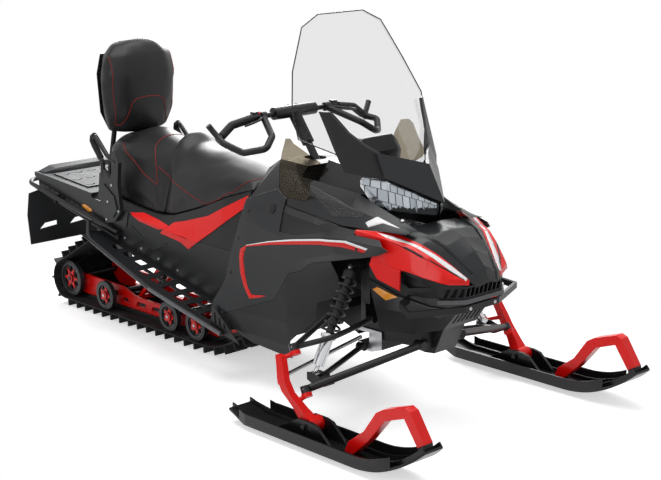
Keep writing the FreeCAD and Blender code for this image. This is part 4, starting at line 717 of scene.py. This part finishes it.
# %% Welts on the covers
WELT, FINE_WELT = 1.9, 1.8
V_REAR = [(-862, -132, 864), (-828, -155, 843), (-739, -157, 795), (-680, -157, 752), (-579, -153, 710)]
V_FRONT = [(-579, -153, 710), (-598, -141, 779), (-626, -129, 833), (-656, -105, 867), (-665, -72, 894), (-669, 0, 909)]
FLANK_STITCH = [
    (-595, -140, 777), (-582, -136, 785), (-455, -158, 740), (-331, -171, 708), (-211, -183, 685), (-124, -186, 706),
    (-85, -177, 741), (-25, -168, 760), (31, -130, 804), (68, -70, 816), (76, 0, 818),
]
PAD_EDGE = [(-881, -172, 1300), (-881, -172, 1161), (-889, -168, 1069), (-904, -151, 947)]
PAD_ARCH = [
    (-904, -151, 947), (-890, -128, 946), (-871, -112, 975), (-855, -88, 1050), (-851, -62, 1068), (-848, 0, 1074),
]
seat_tree = skin_of(driver, passenger)
pad_tree = skin_of(back_pad)
for word, hand in SIDES:
    inward, over, slanted = (0, -hand, -0.35), (0, -0.6 * hand, -1), (-0.25, -0.8 * hand, -0.5)
    for name, node, tree, path, way, radius, columns in (
        ("welt_v_rear_", "passenger_seat", seat_tree, V_REAR, inward, WELT, 60),
        ("welt_v_front_", "passenger_seat", seat_tree, V_FRONT, over, WELT, 60),
        ("welt_flank_", "driver_seat", seat_tree, FLANK_STITCH, slanted, FINE_WELT, 110),
        ("welt_pad_edge_", "backrest_pad", pad_tree, PAD_EDGE, (-1, 0, 0), FINE_WELT, 60),
        ("welt_pad_arch_", "backrest_pad", pad_tree, PAD_ARCH, (-1, 0, 0), FINE_WELT, 60),
    ):
        seam(name + word, node, tree, flipped(path, hand), way, radius, RED_THREAD, columns)
print("welts", 5 * len(SIDES))

# %% [markdown]
# ## Wheels of the skid
# Each spoked wheel gets a thin grey ring near its edge, a painted highlight on its sidewall; a red five-pointed
# star between its openings; and a cap on its hub. Their places and sizes are read from the separate wheels inside
# the CAD nodes.

# %% Painted highlight rings, stars and caps


def islands(thing):
    """The corners (low, high) of the box around each separate solid of an object."""
    work = merged(thing.data)
    left, out = set(work.verts), []
    while left:
        stack = [left.pop()]
        group = list(stack)
        while stack:
            for edge in stack.pop().link_edges:
                for vert in edge.verts:
                    if vert in left:
                        left.remove(vert)
                        stack.append(vert)
                        group.append(vert)
        points = np.array([vert.co for vert in group])
        out.append((points.min(axis=0), points.max(axis=0)))
    work.free()
    return out


def disc_ring(verts, faces, centre, y0, y1, inner, outer, sides=40):
    """Add a flat ring around the Y axis, from y0 to y1."""
    start = len(verts)
    for k in range(sides):
        turn = 2 * math.pi * k / sides
        for radius, y in ((inner, y0), (outer, y0), (outer, y1), (inner, y1)):
            verts.append((centre[0] + radius * math.cos(turn), y, centre[2] + radius * math.sin(turn)))
    for k in range(sides):
        a, b = start + 4 * k, start + 4 * ((k + 1) % sides)
        for j in range(4):
            faces.append([a + j, b + j, b + (j + 1) % 4, a + (j + 1) % 4])


def star(verts, faces, centre, y0, y1, inner, outer, points):
    """Add a flat star around the Y axis, its tips at outer and its notches at inner."""
    start, count = len(verts), 2 * points
    for y in (y0, y1):
        for k in range(count):
            turn = math.pi * k / points
            radius = outer if k % 2 == 0 else inner
            verts.append((centre[0] + radius * math.cos(turn), y, centre[2] + radius * math.sin(turn)))
    faces.append([start + k for k in range(count)])
    faces.append([start + count + k for k in reversed(range(count))])
    for k in range(count):
        faces.append([start + k, start + count + k, start + count + (k + 1) % count, start + (k + 1) % count])


def outward(piece):
    """Turn all faces of a piece to the outside."""
    work = bmesh.new()
    work.from_mesh(piece.data)
    bmesh.ops.recalc_face_normals(work, faces=work.faces)
    written(work, piece.data)
    return piece


for node, spokes in (("skid_wheels", 5), ("rear_idlers", 6)):
    highlight_rings, stars, caps = ([], []), ([], []), ([], [])
    for low, high in islands(all_nodes[node]):
        centre = (low + high) / 2
        hand = 1 if centre[1] > 0 else -1
        radius, half = (high[2] - low[2]) / 2, (high[1] - low[1]) / 2 - 3 * MM
        face, hub = centre[1] + hand * half, centre[1] + hand * (half + 3 * MM)
        web = centre[1] + hand * 5 * MM
        # A thin grey ring near the edge of the wheel: a painted highlight, where light runs round the sidewall.
        disc_ring(*highlight_rings, centre, face - hand * MM, face + hand * 1.2 * MM, radius - 19 * MM, radius - 15.5 * MM)
        star(*stars, centre, web - hand * MM, web + hand * 4 * MM, 24 * MM, (radius - 21 * MM) * 0.84, spokes)
        disc_ring(*stars, centre, hub - hand * MM, hub + hand * 2 * MM, 9 * MM, 20 * MM, 24)
        head(*caps, Vector((centre[0], hub, centre[2])), Vector((0, hand, 0)), 8.5 * MM, 5 * MM, 6)
    outward(mesh_piece(node + "_rims", node, *highlight_rings, GREY_PLASTIC))
    outward(mesh_piece(node + "_stars", node, *stars, RED_PAINT))
    outward(mesh_piece(node + "_caps", node, *caps, STEEL))
print("wheels dressed")

# %% [markdown]
# ## Edge of the screen
# A thin black trim runs round the clear screen. Its path is the sharp front edge of the CAD sheet, where the
# face meets the narrow wall.

# %% Screen trim


def wall_loops(thing, thickness):
    """Closed loops of points where a sheet's front face meets its wall, whose short edges run along X."""
    work = merged(thing.data)
    front = set()
    for edge in work.edges:
        across = edge.verts[0].co - edge.verts[1].co
        if abs(abs(across.x) - thickness) < 3e-5 and math.hypot(across.y, across.z) < 3e-5:
            front.add(max(edge.verts, key=lambda vert: vert.co.x))
    links = {vert: [] for vert in front}
    for edge in work.edges:
        a, b = edge.verts
        if a in front and b in front and edge.calc_face_angle(0.0) > math.radians(30):
            links[a].append(b)
            links[b].append(a)
    loops, left = [], {vert for vert in front if len(links[vert]) == 2}
    while left:
        first = left.pop()
        loop, here = [first], first
        while True:
            following = [vert for vert in links[here] if vert in left]
            if not following:
                break
            here = following[0]
            left.remove(here)
            loop.append(here)
        loops.append([vert.co.copy() for vert in loop])
    work.free()
    return loops


edges = wall_loops(all_nodes["windshield"], 4 * MM)
for i, loop in enumerate(edges):
    if len(loop) > 8:
        verts, faces = sweep(loop + loop[:1], 2.4 * MM, 8)
        mesh_piece("screen_trim_%d" % i, "windshield", verts, faces, BLACK_FILM, 80.0)
print("screen edge points", [len(loop) for loop in edges])

# %% [markdown]
# ## Two-tone pieces
# Some mouldings and castings change finish from one face to the next. The faces are chosen by where they lie and
# by which way they look, in millimetres.

# %% Finishes by face


def paint_where(node, material, test):
    """Give another finish to the faces of a dressed node that pass a test of their centre and normal."""
    mesh = pieces[node].data
    mesh.materials.append(material)
    slot, count = len(mesh.materials) - 1, 0
    for face in mesh.polygons:
        if test(face.center / MM, face.normal):
            face.material_index = slot
            count += 1
    return count


painted = {
    "belly_pan": paint_where("belly_pan", MOULDED_BLACK, lambda at, way: at.z < 436 or abs(at.y) < 60),
    "front_fascia": paint_where("front_fascia", GREY_PLASTIC, lambda at, way: 508 < at.z < 526 and at.x > 1182),
    "board_right": paint_where("running_board_right", GREY_PLASTIC, lambda at, way: at.y < -398 and way.y < -0.7),
    "board_left": paint_where("running_board_left", GREY_PLASTIC, lambda at, way: at.y > 398 and way.y > 0.7),
    "cargo_deck": paint_where("cargo_deck", DECK_GREY, lambda at, way: way.z > 0.9 and at.z > 600),
    "shocks": paint_where("shocks", TUBE_BLACK, lambda at, way: at.z > 452),
    "bulkhead": paint_where("bulkhead", TUNNEL_BLACK, lambda at, way: at.z > 262 or at.x > 800),
}
print("two-tone faces", painted)

# %% [markdown]
# ## Black channels, vents and grilles
# The bonnet has a black channel on each side of its raised middle. Dark mesh fills the openings above the flanks:
# a cell pattern with paler threads between black holes, built from the distance to the edges of Voronoi cells.
# The black of the holes is painted shade, for the dark space behind the mesh. A white corner mark points forward on
# the front end of each upper panel.

# %% Mesh finish, channels and vents
MESH_CELL_MM = 9.0
MESH = bpy.data.materials.new("black_vent_mesh")
MESH.use_nodes = True
tree = MESH.node_tree
tree.nodes.clear()
place = add(tree, "ShaderNodeTexCoord").outputs["Object"]
cells = add(tree, "ShaderNodeTexVoronoi", {"Vector": place, "Scale": 1000 / MESH_CELL_MM}, feature="DISTANCE_TO_EDGE")
thread = add(tree, "ShaderNodeMapRange", {
    "Value": cells.outputs["Distance"], "From Min": 0.06, "From Max": 0.16, "To Min": 1.0, "To Max": 0.0,
})
# The holes are painted shade: near-black where the dark space behind a mesh would show through its openings.
shaded_hole_and_thread = {0: thread.outputs[0], 6: linear("#020202"), 7: linear("#1d1d1e")}
tone = add(tree, "ShaderNodeMix", shaded_hole_and_thread, data_type="RGBA")
relief = add(tree, "ShaderNodeBump", {"Height": thread.outputs[0], "Distance": 1.2 * MM, "Strength": 1.0})
shader = add(tree, "ShaderNodeBsdfPrincipled", {
    "Base Color": tone.outputs[2], "Roughness": 0.4, "Normal": relief.outputs[0],
})
add(tree, "ShaderNodeOutputMaterial", {"Surface": shader.outputs[0]})

CHANNEL_IN = [(1090, -113, 750), (1178, -84, 679), (1226, -68, 637), (1249, -50, 621)]
CHANNEL_OUT = [(1046, -152, 742), (1104, -124, 735), (1226, -80, 640), (1246, -66, 618)]
SIDE_VENT_TOP = [(432, -281, 792), (560, -279, 776), (690, -276, 756)]
SIDE_VENT_LOW = [(440, -290, 764), (560, -291, 752), (652, -292, 743)]
UPPER_VENT_TOP = [(505, -213, 880), (680, -213, 842), (838, -213, 801)]
UPPER_VENT_LOW = [(515, -216, 872), (700, -258, 778), (826, -226, 792)]
MARK_OUT = [(854, -231, 778), (888, -197, 800), (1000, -192, 773)]
MARK_IN = [(877, -237, 764), (925, -207, 782), (996, -192, 770)]
skins = {node: skin_of(all_nodes[node]) for node in ("hood", "vent_panels", "upper_panels")}
for word, hand in SIDES:
    down, beside, over = (-0.45, -0.35 * hand, -0.8), (0, -hand, -0.25), (-0.3, -0.5 * hand, -0.8)
    for name, node, upper, lower, way, material, columns, rows in (
        ("channel_", "hood", CHANNEL_OUT, CHANNEL_IN, down, BLACK_FILM, 50, 4),
        ("side_vent_", "vent_panels", SIDE_VENT_TOP, SIDE_VENT_LOW, beside, MESH, 50, 4),
        ("upper_vent_", "upper_panels", UPPER_VENT_TOP, UPPER_VENT_LOW, beside, MESH, 60, 8),
        ("corner_mark_", "upper_panels", MARK_OUT, MARK_IN, over, WHITE_FILM, 50, 3),
    ):
        sides = flipped(upper, hand), flipped(lower, hand)
        band(name + word, node, skins[node], *sides, way, material, columns, rows)
print("vents and channels", 4 * len(SIDES))

# %% [markdown]
# ## Headlamps
# Behind each clear lens sits a bright reflector, cut into small facets, with a dark bezel along its foot.

# %% Reflectors behind the lenses


def shrunk(name, node, inset_mm, material):
    """A copy of a node's merged mesh, drawn in by a distance along its normals."""
    mesh = all_nodes[node].data.copy()
    mesh.name = name
    work = merged(mesh)
    work.normal_update()
    moves = [vert.normal * (-inset_mm * MM) for vert in work.verts]
    for vert, move in zip(work.verts, moves):
        vert.co += move
    written(work, mesh)
    mesh.materials.clear()
    mesh.materials.append(material)
    mesh.shade_flat()
    piece = linked(name, mesh)
    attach(piece, body_of(node))
    return piece


FACETS = bpy.data.materials.new("faceted_chrome_reflector")
FACETS.use_nodes = True
tree = FACETS.node_tree
tree.nodes.clear()
place = add(tree, "ShaderNodeTexCoord").outputs["Object"]
axes = add(tree, "ShaderNodeSeparateXYZ", {"Vector": place})
outward_y = add(tree, "ShaderNodeMath", {0: axes.outputs["Y"]}, operation="ABSOLUTE")
leaning = {0: outward_y.outputs[0], 1: -0.45, 2: axes.outputs["Z"]}
slant = add(tree, "ShaderNodeMath", leaning, operation="MULTIPLY_ADD")
grid = add(tree, "ShaderNodeCombineXYZ", {"X": outward_y.outputs[0], "Y": slant.outputs[0]})
cells = add(tree, "ShaderNodeTexBrick", {
    "Vector": grid.outputs[0], "Scale": 1.0,
    "Color1": linear("#fbfbfc"), "Color2": linear("#d2d4d7"), "Mortar": linear("#5a5c60"),
    "Mortar Size": 1.1 * MM, "Mortar Smooth": 0.3, "Brick Width": 17 * MM, "Row Height": 46 * MM,
}, offset=0.35)
relief = add(tree, "ShaderNodeBump", {"Height": cells.outputs["Fac"], "Distance": -4 * MM, "Strength": 1.0})
shader = add(tree, "ShaderNodeBsdfPrincipled", {
    "Base Color": cells.outputs["Color"], "Roughness": 0.2, "Metallic": 0.35, "Normal": relief.outputs[0],
})
add(tree, "ShaderNodeOutputMaterial", {"Surface": shader.outputs[0]})
LENS_GAP, BEZEL_TOP = 5.0, 826
mirror = shrunk("lamp_reflectors", "headlamps", LENS_GAP, FACETS)
mirror.data.materials.append(BLACK_FILM)
for face in mirror.data.polygons:
    if face.center.z / MM < BEZEL_TOP or face.normal.z < -0.5:
        face.material_index = 1
print("reflector faces", len(mirror.data.polygons))

# %% [markdown]
# ## Fasteners
# Round and six-sided heads sit where panels, arms and brackets are bolted together. Both sides get the same set.

# %% Bolts, rivets and plugs
PANEL_PLUG = [(383, -280, 770)]
PANEL_SCREWS = [(250, -318, 742), (190, -322, 620), (150, -330, 470), (880, -262, 690)]
HOOD_SCREWS = [(979, -157, 790)]
TUNNEL_RIVETS = [(x, -230, 606 - (x + 1470) * 0.19) for x in range(-1440, -980, 42)]
BOARD_BOLTS = [(x, -240, 379 - (x + 630) * 0.2 + 40) for x in (-900, -760, -630, -500, -360)]
ARM_BOLTS = [(872, -620, 196), (788, -600, 338), (940, -680, 84)]
SHOCK_BOLTS = [(785, -300, 590), (823, -530, 221)]
HANDLE_BOLTS = [(-865, -260, 521), (-765, -260, 574), (-812, -260, 690), (-840, -260, 610)]
for word, hand in SIDES:
    way = flank[word]
    panel_tree = skin_of(all_nodes["side_panel_" + word], all_nodes["vent_panels"])
    panel = "side_panel_" + word
    studs("plug_" + word, panel, panel_tree, flipped(PANEL_PLUG, hand), way, 21, 5, MOULDED_BLACK, 6)
    studs("panel_screws_" + word, panel, panel_tree, flipped(PANEL_SCREWS, hand), way, 7, 2.5, TUBE_BLACK)
    top_tree = skin_of(all_nodes["upper_panels"], all_nodes["hood"], all_nodes["nose_panels"])
    down = (-0.1, -0.1 * hand, -1)
    studs("hood_cup_" + word, "hood", top_tree, flipped(HOOD_SCREWS, hand), down, 11, 2.5, BLACK_FILM)
    studs("hood_screw_" + word, "hood", top_tree, flipped(HOOD_SCREWS, hand), down, 6.5, 5, WHITE_FILM)
    tunnel_tree = skin_of(all_nodes["tunnel"], all_nodes["cargo_deck"])
    studs("tunnel_rivets_" + word, "tunnel", tunnel_tree, flipped(TUNNEL_RIVETS, hand), way, 4.5, 2.2, GREY_PLASTIC, 10)
    studs("board_bolts_" + word, "tunnel", tunnel_tree, flipped(BOARD_BOLTS, hand), way, 7, 4, STEEL, 6)
    spindle_tree = skin_of(all_nodes["spindle_" + word])
    studs("spindle_bolts_" + word, "spindle_" + word, spindle_tree, flipped(ARM_BOLTS, hand), way, 11, 7, STEEL, 6)
    shock_tree = skin_of(all_nodes["shocks"])
    studs("shock_bolts_" + word, "shocks", shock_tree, flipped(SHOCK_BOLTS, hand), way, 9, 5, STEEL, 6)
    handle_tree = skin_of(all_nodes["grab_handles"])
    studs("handle_bolts_" + word, "grab_handles", handle_tree, flipped(HANDLE_BOLTS, hand), way, 7, 3.5, STEEL, 6)
bumper_tree = skin_of(all_nodes["front_bumper"])
studs("bumper_bolts", "front_bumper", bumper_tree, [(1260, -68, 484), (1260, 68, 484)], (-1, 0, 0), 8, 4, STEEL, 6)
print("fastener sets", 9 * len(SIDES) + 1)

# %% [markdown]
# ## Lugs and closing strips
# A black lug carries the front foot of each hoop on its ski. A thin strip closes the joint between the tunnel's side
# and the running board, whose top falls as z(x) = 226 + (150 - x) / 5 millimetres.

# %% Ski lugs and tunnel strips
LUG = [(1499, 152), (1536, 171), (1541, 138), (1505, 108)]
HOOP_Y, LUG_HALF, STRIP_Y = 590, 19, 227
for word, hand in SIDES:
    hoop = "ski_loop_" + word
    near_y = HOOP_Y * hand - LUG_HALF
    slab("ski_lug_" + word, hoop, [(x, near_y, z) for x, z in reversed(LUG)], 2 * LUG_HALF, MOULDED_BLACK, 2.0)
    pin = [(1520, HOOP_Y * hand + side * (LUG_HALF + 5), 143) for side in (-1, 1)]
    bar("ski_lug_bolt_" + word, hoop, pin, 7, STEEL, 6)
    ends = ((150, 13), (-960, 13), (-960, -2), (150, -2))
    board = [(x, STRIP_Y * hand, 226 + (150 - x) / 5 + rise) for x, rise in ends]
    slab("tunnel_strip_" + word, "tunnel", board[::hand], 1.5, TUNNEL_BLACK)
print("lugs and strips", 3 * len(SIDES))

# %% [markdown]
# ## Rubber sleeves
# The passenger's grab bars carry thicker rubber where a hand closes on them.

# %% Sleeves on the grab bars
GRAB_SLEEVE = [
    (-900, -241, 805), (-925, -241, 834), (-950, -241, 862), (-962, -241, 880), (-958, -241, 897), (-942, -241, 905),
]
for word, hand in SIDES:
    bar("grab_sleeve_" + word, "grab_handles", flipped(GRAB_SLEEVE, hand), 15, GRIP, 16)
print("sleeves placed")

# %% [markdown]
# ## Controls
# Levers, the stop button, the bar clamp's bolts and the gauge face are small fittings on the bar and its housing.

# %% Controls on the bar
LEVER = [(206, -196, 1110), (226, -206, 1107), (240, -232, 1102), (246, -270, 1096), (240, -306, 1088)]
CLAMP_BOLTS = [(176, -22, 1160), (176, 22, 1160)]
GAUGE = [(604, -62, 1040), (604, 62, 1040), (598, 62, 968), (598, -62, 968)]
for word, hand in SIDES:
    bar("lever_" + word, "handlebar", flipped(LEVER, hand), 4.5, TUBE_BLACK)
button_tree = skin_of(all_nodes["handlebar"])
studs("stop_button", "handlebar", button_tree, [(192, -194, 1150)], (0, 0, -1), 10, 8, RED_PAINT, 16)
studs("bar_clamp_bolts", "handlebar", button_tree, CLAMP_BOLTS, (0, 0, -1), 6, 5, STEEL, 6)
slab("gauge_face", "instrument_housing", GAUGE, 3, BLACK_FILM, 1.0)
print("controls placed")
